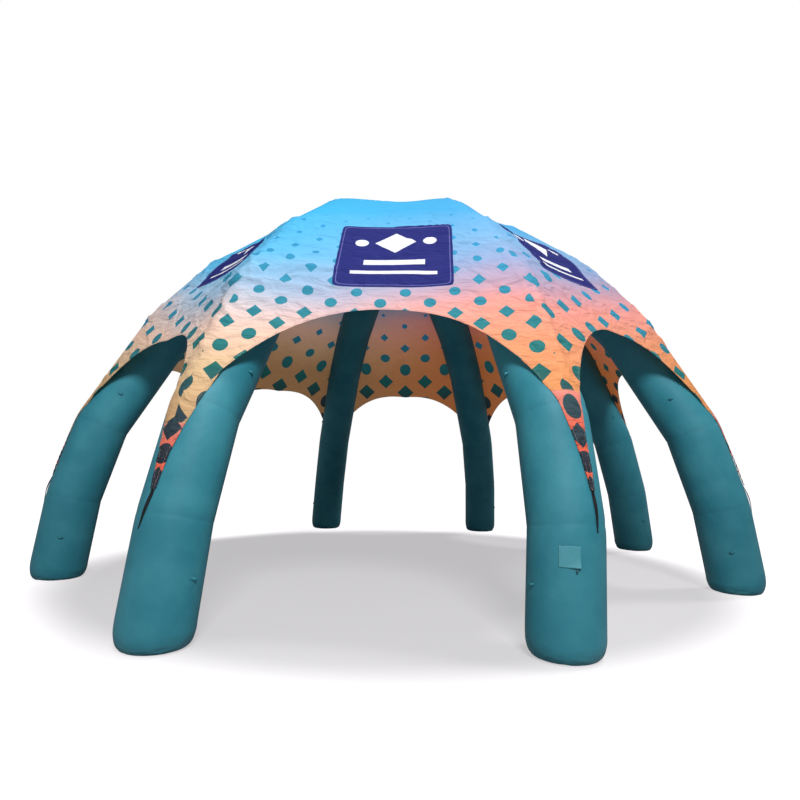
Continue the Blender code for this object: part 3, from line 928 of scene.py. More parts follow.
def leg_tree():
    tree, sizes = new_tree("swept_leg", LEG_SIZES)
    line = node(tree, "GeometryNodeMeshToCurve", {"Mesh": sizes["Geometry"]}).outputs[0]
    sockets = {"Resolution": sizes["Sides"], "Radius": 1.0}
    ring = node(tree, "GeometryNodeCurvePrimitiveCircle", sockets).outputs[0]
    swollen = sizes["Radius"] * field(tree, "swell")
    sockets = {"Curve": line, "Profile Curve": ring, "Scale": swollen, "Fill Caps": True}
    tube = node(tree, "GeometryNodeCurveToMesh", sockets)
    out = node(tree, "GeometryNodeInputNormal").outputs[0]
    x, y = (
        vector_calc(tree, "DOT_PRODUCT", out, field(tree, way, "FLOAT_VECTOR")) * sizes["Pucker Count"]
        for way in ("ridge", "side")
    )
    round_it = node(tree, "ShaderNodeCombineXYZ", {"X": x, "Y": y, "Z": field(tree, "station") * 3.0})
    gathered = span(noise(tree, round_it.outputs[0], 1.0, 2.0), 0.42, 0.72)
    puckers = field(tree, "gather") * sizes["Pucker Depth"] * gathered
    sunk = field(tree, "weld") * sizes["Weld Depth"] + puckers
    move = scaled(tree, out, sunk * -1.0)
    pinched = node(tree, "GeometryNodeSetPosition", {"Geometry": tube.outputs[0], "Offset": move})
    smooth = node(tree, "GeometryNodeSetShadeSmooth", {"Geometry": pinched.outputs[0]})
    close_tree(tree, smooth.outputs[0], LEG_FABRIC)
    return tree


def near(values, marks, reach):
    """One at each mark, falling softly to nothing within reach of it."""
    away = np.min(np.abs(np.subtract.outer(values, np.array(marks))), axis=1)
    return np.clip(1 - away / reach, 0.0, 1.0) ** 2


def leg_stations(line):
    """Rings closer together at the welds and round the foot's rim."""
    stations = [0.0]
    while stations[-1] < line.end - SHORTEST_STEP / 2:
        place = stations[-1]
        from_weld = min(abs(place - weld) for weld in WELDS)
        step = FINE_STEP if from_weld < FINE_REACH else PLAIN_STEP
        step = min(step, max(SHORTEST_STEP, RIM_SHARE * (line.end - place)))
        stations.append(min(place + step, line.end))
    return np.array(stations)


def make_leg(leg, tree):
    line = LINES[leg]
    station = leg_stations(line)
    centre, ridge, side = line.at(station)
    low = np.clip(1 - centre[:, 2] / FOOT_RIM, 0.0, 1.0)
    fields = {
        "swell": FOOT_SWELL + (1 - FOOT_SWELL) * np.sqrt(1 - low**2),
        "station": station,
        "weld": near(station, WELDS, 0.020),
        "gather": near(station, WELDS, 0.10) * 0.7 + near(centre[:, 2], (0.05,), 0.17),
        "ridge": turned(leg, ridge),
        "side": turned(leg, side),
    }
    edges = [(k, k + 1) for k in range(len(station) - 1)]
    piece = carrier(f"air_leg_{leg + 1}", turned(leg, centre), edges, fields)
    run_tree(piece, tree, LEG_SIZES)
    mesh, sides = piece.data, LEG_SIZES["Sides"]
    down = np.empty(len(mesh.vertices))
    mesh.attributes["station"].data.foreach_get("value", down)
    give_map(mesh, (np.arange(len(down)) % sides) * (2 * math.pi * TUBE_RADIUS / sides), down)
    close_map_round(mesh, 2 * math.pi * TUBE_RADIUS)
    return piece


def close_map_round(mesh, girth):
    """The face that closes the tube reads on past the full girth and not back to nought."""
    layer = mesh.uv_layers["metres"].data
    across = np.empty(2 * len(layer))
    layer.foreach_get("uv", across)
    across = across.reshape(-1, 2)
    for face in mesh.polygons:
        if len(face.vertices) == 4:
            corners = slice(face.loop_start, face.loop_start + 4)
            if np.ptp(across[corners, 0]) > girth / 2:
                across[corners, 0] += np.where(across[corners, 0] < girth / 2, girth, 0.0)
    layer.foreach_set("uv", across.ravel())


swept = leg_tree()
air_legs = [make_leg(leg, swept) for leg in range(LEG_COUNT)]
print("legs", [triangles(piece) for piece in air_legs], "triangles")

# %% [markdown]
# ## The hub
# The legs open into one low cushion of the same fabric, eight-sided because each leg meets a
# flat side of it. Air crowns its top and bottom and rounds its corners. It is lofted from rings
# whose outline goes from the octagon to nearly a circle towards the middle.

# %% Blow up the hub
HUB_RINGS, HUB_SIDES = 28, 96
# How far its corners reach, as a share of its flats, and how square its outline is from the side.
HUB_CORNER, HUB_OUT_POWER, HUB_HIGH_POWER = 1.055, 0.55, 0.62


def make_hub():
    apothem, half_height = HUB_REACH - SKIN_GAP, TUBE_RADIUS - 2 * SKIN_GAP
    turns = np.arange(HUB_SIDES) * 2 * math.pi / HUB_SIDES
    from_flat = (turns - FIRST_LEG_ANGLE + SECTOR / 2) % SECTOR - SECTOR / 2
    outline = np.minimum(apothem / np.cos(from_flat), apothem * HUB_CORNER)
    places = [(0.0, 0.0, TOP_HEIGHT + way * half_height) for way in (1, -1)]
    for k in range(1, HUB_RINGS):
        lean = math.pi * k / HUB_RINGS
        out = math.sin(lean) ** HUB_OUT_POWER
        high = math.copysign(abs(math.cos(lean)) ** HUB_HIGH_POWER, math.cos(lean))
        reach = apothem * out + (outline - apothem) * out**3
        height = np.full(HUB_SIDES, TOP_HEIGHT + half_height * high)
        places += list(zip(reach * np.cos(turns), reach * np.sin(turns), height))
    rings = numbered(HUB_RINGS - 1, HUB_SIDES) + 2
    rings = np.hstack([rings, rings[:, :1]])
    faces = quads(rings).tolist()
    for pole, ring in ((0, rings[0]), (1, rings[-1, ::-1])):
        faces += [(pole, int(a), int(b)) for a, b in zip(ring, ring[1:])]
    mesh = new_mesh("hub_cushion", places, faces, LEG_FABRIC)
    give_map(mesh, *places_of(mesh)[:, :2].T)
    return link("hub_cushion", mesh)


hub = make_hub()
print("hub", triangles(hub), "triangles, box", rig.box("hub"))

# %% [markdown]
# ## Where the cloth lies
# Stretched cloth takes the shortest way. It lies on a tube's back up to the turn where the
# straight line to the next tube leaves it, then runs level to the middle of the panel. Past the
# knee only a narrow strip goes on down the ridge. One sum gives that place for any distance
# across and any station, so that the gores, their hems and the stitches all lie on one surface.

# %% Lay the cloth over the tubes
STRIP_HOLD = math.radians(60)
LEAVE_STATION = 4.46


def ease(value):
    share = np.clip(value, 0.0, 1.0)
    return share * share * (3 - 2 * share)


def hold_turn(station, ridge):
    """The turn round the tube at which the cloth leaves it."""
    held = np.arctan(math.tan(SECTOR / 2) * ridge[..., 0])
    return held + (STRIP_HOLD - held) * ease((station - LEAVE_STATION) / (KNEE + 0.1 - LEAVE_STATION))


def taut(line, across, station, lift):
    """The taut cloth's places and ways out, over a leg along +X."""
    centre, ridge, side = line.at(station)
    wrapped = hold_turn(station, ridge) * TUBE_RADIUS
    out = outward(ridge, side, np.clip(across, -wrapped, wrapped) / TUBE_RADIUS)
    beyond = np.maximum(np.abs(across) - wrapped, 0.0)
    level = (np.full_like(across, -HALF_SIN), np.sign(across) * HALF_COS, np.zeros_like(across))
    run = np.stack(level, axis=-1) * beyond[..., None]
    return centre + (TUBE_RADIUS + lift) * out + run, out, wrapped


def measure_half_panel():
    """Half a panel's width by station, from the ridge over the tube to the panel's middle."""
    station = PLAIN_LINE.station
    centre, ridge, side = PLAIN_LINE.at(station)
    held = np.arctan(math.tan(SECTOR / 2) * ridge[:, 0])
    edge = centre + TUBE_RADIUS * outward(ridge, side, held)
    chord = edge[:, 0] * HALF_SIN - edge[:, 1] * HALF_COS
    return station, np.maximum(held * TUBE_RADIUS + chord, 1e-6)


HALF_STATIONS, HALF_WIDTHS = measure_half_panel()


def half_panel(station):
    return np.interp(station, HALF_STATIONS, HALF_WIDTHS)


print("half a panel at the hem's top", round(float(half_panel(HEM_TOP)), 3), "m")

# %% [markdown]
# ## Folds and creases
# The cloth is cut flat and pulled over a bent frame, so tension gathers at the elbows and runs
# out from them in drag folds. Each fold is a soft ridge or trough along a short line. Round the
# tent a place is counted in half panels from the middle of the front, so the front's right leg
# is at 1 and its left leg at -1. The broad folds are those of the solid. The finer creases were
# placed one by one on the front panel and beside it. A seeded draw adds more on the seven others.

# %% Place the folds
Fold = namedtuple("Fold", "from_round from_station to_round to_station height half_width")
BROAD_FOLDS = (
    Fold(0.95, 2.30, 0.10, 2.75, 0.022, 0.24),
    Fold(0.66, 2.95, 0.20, 3.35, -0.020, 0.22),
    Fold(-0.98, 2.90, -0.35, 3.30, 0.024, 0.24),
    Fold(-1.06, 2.60, -1.02, 4.60, 0.020, 0.22),
    Fold(1.05, 2.80, 1.03, 4.50, 0.018, 0.20),
    Fold(-0.60, 1.00, 0.60, 1.25, 0.015, 0.28),
    Fold(2.10, 2.10, 2.90, 2.60, 0.018, 0.26),
    Fold(4.95, 2.40, 4.20, 3.10, 0.020, 0.26),
    Fold(7.10, 2.30, 7.80, 3.00, 0.022, 0.26),
    Fold(-2.10, 2.20, -2.80, 2.80, 0.018, 0.26),
    Fold(-4.90, 2.50, -4.10, 3.00, 0.020, 0.24),
    Fold(-6.10, 2.10, -5.40, 2.90, 0.018, 0.26),
)
FRONT_CREASES = (
    # out from the right leg's upper elbow
    Fold(1.00, 1.98, 0.22, 1.86, 0.008, 0.055),
    Fold(0.99, 2.12, 0.10, 2.20, 0.011, 0.050),
    Fold(0.99, 2.26, 0.18, 2.54, 0.012, 0.050),
    Fold(0.99, 2.42, 0.28, 2.92, 0.012, 0.055),
    Fold(1.00, 2.62, 0.42, 3.28, 0.010, 0.050),
    Fold(0.96, 1.72, 0.30, 1.42, 0.007, 0.060),
    # out from the left leg's lower elbow
    Fold(-0.99, 3.02, -0.38, 2.82, 0.010, 0.050),
    Fold(-0.99, 3.16, -0.28, 3.12, 0.013, 0.050),
    Fold(-0.99, 3.30, -0.40, 3.42, 0.012, 0.050),
    Fold(-1.00, 3.44, -0.56, 3.70, 0.009, 0.045),
    Fold(-0.98, 2.30, -0.40, 2.10, 0.008, 0.055),
    Fold(-0.98, 2.10, -0.30, 1.78, 0.008, 0.060),
    # over the top, from leg to leg
    Fold(-0.80, 1.02, 0.35, 1.16, 0.008, 0.060),
    Fold(-0.55, 1.42, 0.62, 1.34, 0.008, 0.060),
    Fold(-0.30, 1.72, 0.80, 1.84, 0.007, 0.055),
    Fold(-0.90, 0.70, 0.20, 0.66, 0.006, 0.060),
    # crumpled down the left leg's ridge
    Fold(-1.10, 3.55, -0.93, 3.85, 0.010, 0.040),
    Fold(-1.09, 3.85, -0.92, 4.05, 0.009, 0.040),
    Fold(-0.94, 3.30, -1.12, 3.62, 0.008, 0.040),
    Fold(-1.08, 2.90, -0.95, 3.20, 0.008, 0.045),
    # down the right leg's ridge
    Fold(0.97, 3.00, 0.99, 4.20, 0.009, 0.045),
    Fold(1.07, 3.20, 1.05, 4.40, 0.008, 0.040),
    Fold(1.13, 2.90, 1.09, 3.90, 0.008, 0.045),
    # the right and left panels
    Fold(1.04, 2.20, 1.62, 2.34, 0.011, 0.050),
    Fold(1.05, 2.44, 1.58, 2.80, 0.010, 0.050),
    Fold(1.06, 2.02, 1.70, 1.86, 0.008, 0.055),
    Fold(1.08, 2.75, 1.52, 3.30, 0.010, 0.045),
    Fold(-1.04, 2.20, -1.66, 2.40, 0.010, 0.050),
    Fold(-1.06, 2.98, -1.60, 3.20, 0.011, 0.050),
    Fold(-1.05, 3.20, -1.52, 3.56, 0.009, 0.045),
)


CREASE_SEED, FAN_CREASES, RIDGE_CREASES = 18, 3, 7


def seeded_creases():
    """Small fans out of the elbows on every panel but the front one, and a few over each ridge."""
    draw = np.random.default_rng(CREASE_SEED)
    creases = []
    for ridge in range(LEG_COUNT):
        place = 2 * ridge - 1
        for elbow in (SHOULDER, UPPER_ELBOW, LOWER_ELBOW):
            for way in (-1, 1):
                if ridge in (0, 1) and way == (1 if ridge == 0 else -1):
                    continue
                for _ in range(FAN_CREASES):
                    start = elbow + draw.uniform(-0.16, 0.16)
                    lean, length = draw.uniform(-0.8, 0.8), draw.uniform(0.5, 1.15)
                    half = float(half_panel(elbow))
                    to_round = place + way * min(length * math.cos(lean) / half, 0.85)
                    to_station = start + length * math.sin(lean)
                    height, width = draw.uniform(0.005, 0.011), draw.uniform(0.035, 0.06)
                    creases.append(Fold(place + way * 0.02, start, to_round, to_station, height, width))
        for _ in range(RIDGE_CREASES):
            start, slant = draw.uniform(1.0, 4.3), draw.uniform(-0.3, 0.3)
            wide = 0.22 / float(half_panel(start))
            height = draw.uniform(0.004, 0.008)
            creases.append(Fold(place - wide, start, place + wide, start + slant, height, 0.04))
    return creases


FOLDS = (*BROAD_FOLDS, *FRONT_CREASES, *seeded_creases())
# Creases narrower than this are drawn up to stand out as sharp lines.
CREASE_WIDTH, CREASE_GAIN = 0.1, 2.3
# A trough sinks only off the tube, over this length, and the strips are crumpled this deep.
TROUGH_EASE, STRIP_CRUMPLE = 0.25, 0.006


def fold_height(round_place, station, half):
    """All the folds' height at each place."""
    total = np.zeros_like(station)
    turns = 2 * LEG_COUNT
    for fold in FOLDS:
        start_x = ((fold.from_round - round_place + LEG_COUNT) % turns - LEG_COUNT) * half
        run_x = (fold.to_round - fold.from_round) * half
        start_y, run_y = fold.from_station - station, fold.to_station - fold.from_station
        share = np.clip(-(start_x * run_x + start_y * run_y) / (run_x**2 + run_y**2), 0.0, 1.0)
        away = np.hypot(start_x + share * run_x, start_y + share * run_y) / fold.half_width
        fading = np.sin(math.pi * (0.15 + 0.7 * share))
        bell = (1 + np.cos(math.pi * np.minimum(away, 1))) / 2
        gain = CREASE_GAIN if fold.half_width < CREASE_WIDTH else 1.0
        total += gain * fold.height * fading * bell
    return total


def hang(station, across, half, wrapped, sag):
    """How far the panel sags in between its two legs."""
    place = 1 - np.maximum(np.abs(across) - wrapped, 0) / np.maximum(half - wrapped, 1e-6)
    return sag * (1 - np.clip(place, 0, 1) ** 2) ** 2 * np.clip(station / SHOULDER, 0, 1) ** 2


def cloth_place(leg, across, station, lift):
    """The finished cloth: each place across a leg's ridge and down it, with its folds."""
    across, station = np.broadcast_arrays(np.asarray(across, float), np.asarray(station, float))
    row = LEGS[leg]
    half = half_panel(station)
    down_strip = np.clip((station - KNEE) / (row.tip_station - KNEE), 0.0, 1.2)
    astray = math.radians(row.tip_turn) * down_strip * TUBE_RADIUS
    place, out, wrapped = taut(LINES[leg], across + astray, station, lift)
    sag = np.where(across >= 0, PANELS[leg].sag, PANELS[leg - 1].sag)
    height = fold_height(2 * leg - 1 + across / half, station, half)
    clear = ease((np.abs(across) - wrapped) / TROUGH_EASE)
    height = np.where(height < 0, height * clear, height)
    crumple = STRIP_CRUMPLE * ease(down_strip * 1.4) * (
        1 + np.sin(61 * station + 70 * across + leg) * np.cos(37 * station - 55 * across)
    )
    offset = height + crumple - hang(station, across, half, wrapped, sag)
    return turned(leg, place + out * offset[..., None])


print("folds", len(FOLDS))

# %% [markdown]
# ## The gores
# A gore is one printed length of cloth between two ridges, from the crown to the hem, with half
# a strip at each side. It is drawn as strings that run from the crown down to the hem, closer
# together towards the ridges, so that the mesh follows the hem's arch instead of cutting it in
# steps. Its three maps are the whole cloth's, one that starts from the ridge for the strips, and
# one whose middle is the card's.

# %% Sew the gores
STRIP_COLUMNS, PANEL_COLUMNS, PANEL_ROWS, STRIP_ROWS = 9, 46, 124, 44
CLOTH_THICKNESS = 0.002
CLOTH_LIFT = 0.0040
CREASED_EDGE = math.radians(50)
# The middle of a gore's card, across and down. The other gores' maps have theirs off the cloth.
CARD_PLACES = {0: (0.115, 2.79), 1: (-0.07, 2.32), 7: (0.15, 2.28)}
NO_CARD = (0.0, -9.0)
# How much larger a gore's print is, across and down, and how full its motifs are.
PLAIN_PRINT, SIDE_PRINT, BACK_PRINT = (1.0, 1.0, 1.0), (1.8, 1.3, 1.0), (1.75, 1.75, 1.3)
PRINTS = {0: PLAIN_PRINT, 3: BACK_PRINT, 4: BACK_PRINT, 5: BACK_PRINT}


def leg_beside(panel, way):
    """The leg at a panel's clockwise side, for a way of 1, or at its other side, for -1."""
    return panel if way > 0 else (panel + 1) % LEG_COUNT


def hem_station(share, panel, way):
    """Where the hem is, by the share of the half panel out from the ridge."""
    opening = 1 - share
    fall = HEM_DEPTH * (np.cosh(HEM_STEEPNESS * opening) - 1)
    row = PANELS[panel]
    lean = row.hem_lean * 6.75 * opening**2 * (1 - opening)
    return HEM_TOP + fall + row.hem_drop * share**2 - way * lean


def strip_half_width(leg, station, join_station, join_width):
    row = LEGS[leg]
    marks = [join_station] + [KNEE + share * (row.tip_station - KNEE) for share in STRIP_SHARES]
    widths = [join_width] + [STRIP_END + row.fullness * (w - STRIP_END) for w in STRIP_HALF_WIDTHS]
    return np.interp(station, marks, widths)


def half_gore(panel, way):
    """Rows of (across, station) over one half of a gore, from the crown to the hem and tip."""
    leg = leg_beside(panel, way)
    strip = STRIP_PART * np.arange(STRIP_COLUMNS + 1) / STRIP_COLUMNS
    shares = np.arange(1, PANEL_COLUMNS + 1) / PANEL_COLUMNS
    panel_shares = STRIP_PART + (1 - STRIP_PART) * (0.55 * shares**2 + 0.45 * shares)
    share = np.concatenate([strip, panel_shares])
    join = float(hem_station(np.array(STRIP_PART), panel, way))
    ends = hem_station(share, panel, way)
    ends[: STRIP_COLUMNS + 1] = LEAVE_STATION + (join - LEAVE_STATION) * (strip / STRIP_PART) ** 2
    rows = np.arange(1, PANEL_ROWS + 1) / PANEL_ROWS
    station = -HUB_REACH + (ends[None, :] + HUB_REACH) * rows[:, None]
    across = share[None, :] * half_panel(station)
    down = np.arange(1, STRIP_ROWS + 1)[:, None] / STRIP_ROWS
    strip_station = ends[: STRIP_COLUMNS + 1] + (LEGS[leg].tip_station - ends[: STRIP_COLUMNS + 1]) * down
    join_width = STRIP_PART * float(half_panel(join))
    width = strip_half_width(leg, strip_station, join, join_width)
    strip_across = (strip / STRIP_PART)[None, :] * width
    return leg, ((across, station), (strip_across, strip_station))


def print_on(mesh, panel, flat, from_ridge):
    """The maps that the print reads, from each vertex's place on the flat cloth."""
    give_map(mesh, *flat.T)
    give_map(mesh, from_ridge, flat[:, 1], name="ridge")
    growth = mesh.attributes.new("print_growth", "FLOAT_VECTOR", "POINT")
    growth.data.foreach_set("vector", PRINTS.get(panel, SIDE_PRINT) * len(mesh.vertices))


def make_gore(panel):
    """One gore and its area: the crown's vertex, then each half's rows and its strip's."""
    places = [np.array([(0.0, 0.0, TOP_HEIGHT + TUBE_RADIUS + CLOTH_LIFT)])]
    flats, ridges, faces, total = [np.array([(0.0, -HUB_REACH)])], [np.zeros(1)], [], 1
    for way in (1, -1):
        leg, halves = half_gore(panel, way)
        grids = []
        for across, station in halves:
            places.append(cloth_place(leg, way * across, station, CLOTH_LIFT).reshape(-1, 3))
            flat = np.stack([-way * (half_panel(station) - across), station], axis=-1)
            flats.append(flat.reshape(-1, 2))
            ridges.append(way * across.ravel())
            grids.append(total + numbered(*across.shape))
            total += across.size
        upper, lower = grids
        lower = np.vstack([upper[-1:, : STRIP_COLUMNS + 1], lower])
        fan = np.stack([upper[0, :-1], upper[0, 1:]], axis=-1)[:, ::way]
        faces += [(0, int(a), int(b)) for a, b in fan]
        for grid in (upper, lower):
            faces += quads(grid)[:, ::way].tolist()
    flat = np.vstack(flats)
    mesh = new_mesh(f"gore_{panel + 1}", np.vstack(places), faces, GORE_CLOTH, GORE_BACK)
    print_on(mesh, panel, flat, np.concatenate(ridges))
    give_map(mesh, *(flat - CARD_PLACES.get(panel, NO_CARD)).T, name="card")
    shape = bmesh.new()
    shape.from_mesh(mesh)
    bmesh.ops.remove_doubles(shape, verts=shape.verts, dist=1e-4)
    shape.to_mesh(mesh)
    shape.free()
    area = sum(face.area for face in mesh.polygons)
    gore = thicken(mesh, CLOTH_THICKNESS, -1.0, material_offset=1)
    gore.data.set_sharp_from_angle(angle=CREASED_EDGE)
    return gore, area


gores, areas = zip(*(make_gore(panel) for panel in range(LEG_COUNT)))
print("gores", [triangles(gore) for gore in gores], "areas", [round(area, 2) for area in areas])

# %% [markdown]
# ## Hem bindings
# A bias binding is folded over each gore's raw hem and sewn down, from the middle of the archway
# to the strip's tip. It is a narrow band along the hem's line, in strands that are each moved in
# from the edge and lifted off the cloth.

# %% Bind the hems
HEM_WIDTH, HEM_THICKNESS = 0.024, 0.0012
# How far each strand lies in from the edge, and off the cloth.
HEM_STRANDS = ((-0.0010, -0.0010), (0.0, 0.0008), (HEM_WIDTH / 2, 0.0010), (HEM_WIDTH, 0.0006))


def hem_line(panel, way):
    """The hem's edge as (across, station) from the panel's middle to the strip's tip."""
    leg = leg_beside(panel, way)
    share = 1 - (1 - STRIP_PART) * np.linspace(0, 1, 90)
    station = hem_station(share, panel, way)
    across = share * half_panel(station)
    down = np.linspace(station[-1], LEGS[leg].tip_station, 46)[1:]
    edge = strip_half_width(leg, down, station[-1], across[-1])
    return leg, np.concatenate([across, edge]), np.concatenate([station, down])


def moved_in(across, station, inset):
    """The line moved inward on the cloth, square to itself."""
    run = unit(np.stack([np.gradient(across), np.gradient(station)], axis=1))
    return across - inset * run[:, 1], station + inset * run[:, 0]


def make_hem(panel, way):
    leg, across, station = hem_line(panel, way)
    places, flats, ridges = [], [], []
    for inset, lift in HEM_STRANDS:
        a, s = moved_in(across, station, inset)
        places.append(cloth_place(leg, way * a, s, CLOTH_LIFT + lift))
        flats.append(np.stack([half_panel(s) - abs(a), s], axis=-1))
        ridges.append(way * a)
    faces = quads(numbered(len(places), len(across))).tolist()
    mesh = new_mesh(f"hem_{panel + 1}{'a' if way > 0 else 'b'}", places, faces, HEM_CLOTH)
    print_on(mesh, panel, np.vstack(flats), np.concatenate(ridges))
    hem = thicken(mesh, HEM_THICKNESS, 0.0)
    hem.data.set_sharp_from_angle(angle=CREASED_EDGE)
    return hem


hems = {(panel, way): make_hem(panel, way) for panel in range(LEG_COUNT) for way in (1, -1)}
print("hems", len(hems), "triangles", triangles(hems[0, 1]))

# %% [markdown]
# ## Stitches
# A row of lockstitch holds each binding's inner edge. One stitch is a short four-sided length of
# thread, and Geometry Nodes sets one at every pitch along the sewing lines, turned to follow
# them.

# %% Sew the stitches
STITCH_SIZES = {"Pitch": 0.018, "Stitch Length": 0.010, "Thread Radius": 0.0009}
STITCH_INSET, STITCH_LIFT = HEM_WIDTH - 0.006, 0.0016


def stitch_tree():
    tree, sizes = new_tree("stitch_rows", STITCH_SIZES)
    line = node(tree, "GeometryNodeMeshToCurve", {"Mesh": sizes["Geometry"]}).outputs[0]
    sockets = {"Curve": line, "Length": sizes["Pitch"]}
    spaced = node(tree, "GeometryNodeResampleCurve", sockets, mode="LENGTH").outputs[0]
    sockets = {"Vertices": 4, "Radius": sizes["Thread Radius"], "Depth": sizes["Stitch Length"]}
    thread = node(tree, "GeometryNodeMeshCylinder", sockets).outputs[0]
    heading = node(tree, "GeometryNodeInputTangent").outputs[0]
    facing = node(tree, "FunctionNodeAlignRotationToVector", {"Vector": heading}, axis="Z").outputs[0]
    sockets = {"Points": spaced, "Instance": thread, "Rotation": facing}
    close_tree(tree, node(tree, "GeometryNodeInstanceOnPoints", sockets).outputs[0], THREAD)
    return tree


def make_stitches():
    points, edges = [], []
    for panel, way in hems:
        leg, across, station = hem_line(panel, way)
        a, s = moved_in(across, station, STITCH_INSET)
        first = len(points)
        points += list(cloth_place(leg, way * a, s, CLOTH_LIFT + STITCH_LIFT))
        edges += [(k, k + 1) for k in range(first, len(points) - 1)]
    return run_tree(carrier("stitching", points, edges, {}), stitch_tree(), STITCH_SIZES)


stitches = make_stitches()
print("stitches", len(stitches.data.vertices) // 8, "triangles", triangles(stitches))

# %% [markdown]
# ## Tie loops
# Each leg has two loops of its own fabric for guy ropes and side walls: a short web whose ends
# lie flat on the tube and whose middle stands off it. The web is a grid bowed by a sum in the
# tree, given a thickness, and set on sixteen points that hold which way is out and which is down.

# %% Tack on the loops
LOOP_SIZES = {
    "Web Length": 0.084,
    "Web Width": 0.020,
    "Bow Height": 0.019,
    "Thickness": 0.0022,
    "Tube Radius": TUBE_RADIUS,
}


def loop_tree():
    tree, sizes = new_tree("tie_loops", LOOP_SIZES)
    sockets = {"Size X": sizes["Web Length"], "Size Y": sizes["Web Width"], "Vertices X": 29, "Vertices Y": 5}
    web = node(tree, "GeometryNodeMeshGrid", sockets).outputs[0]
    aside = abs(parts(tree, node(tree, "GeometryNodeInputPosition").outputs[0])[0])
    bow = span(aside, 0.027, 0.010) * sizes["Bow Height"]
    fall = aside * aside / (sizes["Tube Radius"] * 2.0)
    rise = node(tree, "ShaderNodeCombineXYZ", {"Z": bow - fall}).outputs[0]
    bowed = node(tree, "GeometryNodeSetPosition", {"Geometry": web, "Offset": rise}).outputs[0]
    sockets = {"Mesh": bowed, "Offset Scale": sizes["Thickness"], "Individual": False}
    outer = node(tree, "GeometryNodeExtrudeMesh", sockets).outputs[0]
    inner = node(tree, "GeometryNodeFlipFaces", {"Mesh": bowed}).outputs[0]
    both = node(tree, "GeometryNodeJoinGeometry")
    for side in (outer, inner):
        plug(both.inputs[0], side)
    sockets = {"Geometry": both.outputs[0], "Distance": 0.0001}
    closed = node(tree, "GeometryNodeMergeByDistance", sockets).outputs[0]
    ways = {0: field(tree, "out", "FLOAT_VECTOR"), 1: field(tree, "down", "FLOAT_VECTOR")}
    facing = node(tree, "FunctionNodeAxesToRotation", ways, primary_axis="Z", secondary_axis="Y").outputs[0]
    sockets = {"Points": sizes["Geometry"], "Instance": closed, "Rotation": facing}
    tacked = node(tree, "GeometryNodeInstanceOnPoints", sockets).outputs[0]
    smooth = node(tree, "GeometryNodeSetShadeSmooth", {"Geometry": tacked})
    close_tree(tree, smooth.outputs[0], LEG_FABRIC)
    return tree


def seat_on(leg, turn, station, lift):
    """A place on a leg's skin, with the ways out of it and down it, in the tent's frame."""
    _, ridge, side = LINES[leg].at(np.array([station]))
    here, below = on_tube(leg, np.array([station, station + 0.01]), turn, lift)
    return here, turned(leg, outward(ridge, side, turn))[0], unit(below - here)


def make_loops():
    seats = [
        seat_on(leg, LEGS[leg].loop_side * math.pi / 2, station, 0.0)
        for leg in range(LEG_COUNT)
        for station in LOOP_STATIONS
    ]
    places, outs, downs = (np.array(part) for part in zip(*seats))
    piece = carrier("tie_loops", places, [], {"out": outs, "down": downs})
    run_tree(piece, loop_tree(), LOOP_SIZES)
    x, y, z = places_of(piece.data).T
    give_map(piece.data, x + y, z)
    return piece


loops = make_loops()
print("loops", triangles(loops), "triangles")

# %% [markdown]
# ## Straps
# A strap of webbing is sewn behind each tip of the canopy and lies down the leg. It tapers to
# its cut end, stands a centimetre off the tube halfway and turns a little on itself, as slack
# webbing does.

# %% Cut the straps
STRAP_LENGTH, STRAP_GAP, STRAP_WIDTH, STRAP_END_WIDTH, STRAP_BOW = 0.30, 0.002, 0.036, 0.012, 0.010
STRAP_LIFT, STRAP_THICKNESS, STRAP_TWIST = 0.0015, 0.0018, 0.35
STRAP_ROWS, STRAP_STEPS = 7, 36


def make_strap(leg):
    row = LEGS[leg]
    share = np.linspace(0, 1, STRAP_STEPS)
    station = row.tip_station + STRAP_GAP + share * STRAP_LENGTH
    turn = np.radians(row.tip_turn + (row.strap_turn - row.tip_turn) * share**2)
    width = STRAP_WIDTH + (STRAP_END_WIDTH - STRAP_WIDTH) * share
    off = STRAP_LIFT + STRAP_BOW * np.sin(math.pi * share) ** 2
    twist = STRAP_TWIST * np.sin(math.pi * share) * (1 if leg % 2 else -1)
    across = [place * width / 2 for place in np.linspace(-1, 1, STRAP_ROWS)]
    places = [
        on_tube(leg, station, turn + aside / TUBE_RADIUS, off + np.maximum(aside * twist, -off))
        for aside in across
    ]
    faces = quads(numbered(STRAP_ROWS, STRAP_STEPS).T).tolist()
    mesh = new_mesh(f"webbing_{leg + 1}", places, faces, WEBBING)
    give_map(mesh, across, np.tile(station, STRAP_ROWS))
    return thicken(mesh, STRAP_THICKNESS, 1.0)


straps = [make_strap(leg) for leg in range(LEG_COUNT)]
print("straps", [triangles(piece) for piece in straps])

# %% [markdown]
# ## The valve and its flap
# The second leg has its air valve just under a square patch of paler fabric. Three of the
# patch's corners are welded down and the lower outer one has come up. The valve is turned: one
# outline spun round its own axis.

# %% Fit the valve
FLAP_TURNS, FLAP_STATIONS, FLAP_STEPS = (-45.0, -15.0), (5.94, 6.11), 26
# How far the patch lies off the leg, how deep its ripples are and how high the loose corner is.
FLAP_SEAT, FLAP_RIPPLE, FLAP_LIFT, FLAP_THICKNESS = 0.0030, 0.0012, 0.020, 0.0020
STEM_TURN, STEM_STATION, STEM_GAP, STEM_STEPS = math.radians(-20), 6.133, 0.0002, 40
STEM_OUTLINE = (
    (0.0120, 0.0000), (0.0120, 0.0022), (0.0112, 0.0030), (0.0088, 0.0034), (0.0086, 0.0085),
    (0.0096, 0.0092), (0.0100, 0.0100), (0.0100, 0.0160), (0.0094, 0.0174), (0.0060, 0.0180),
)


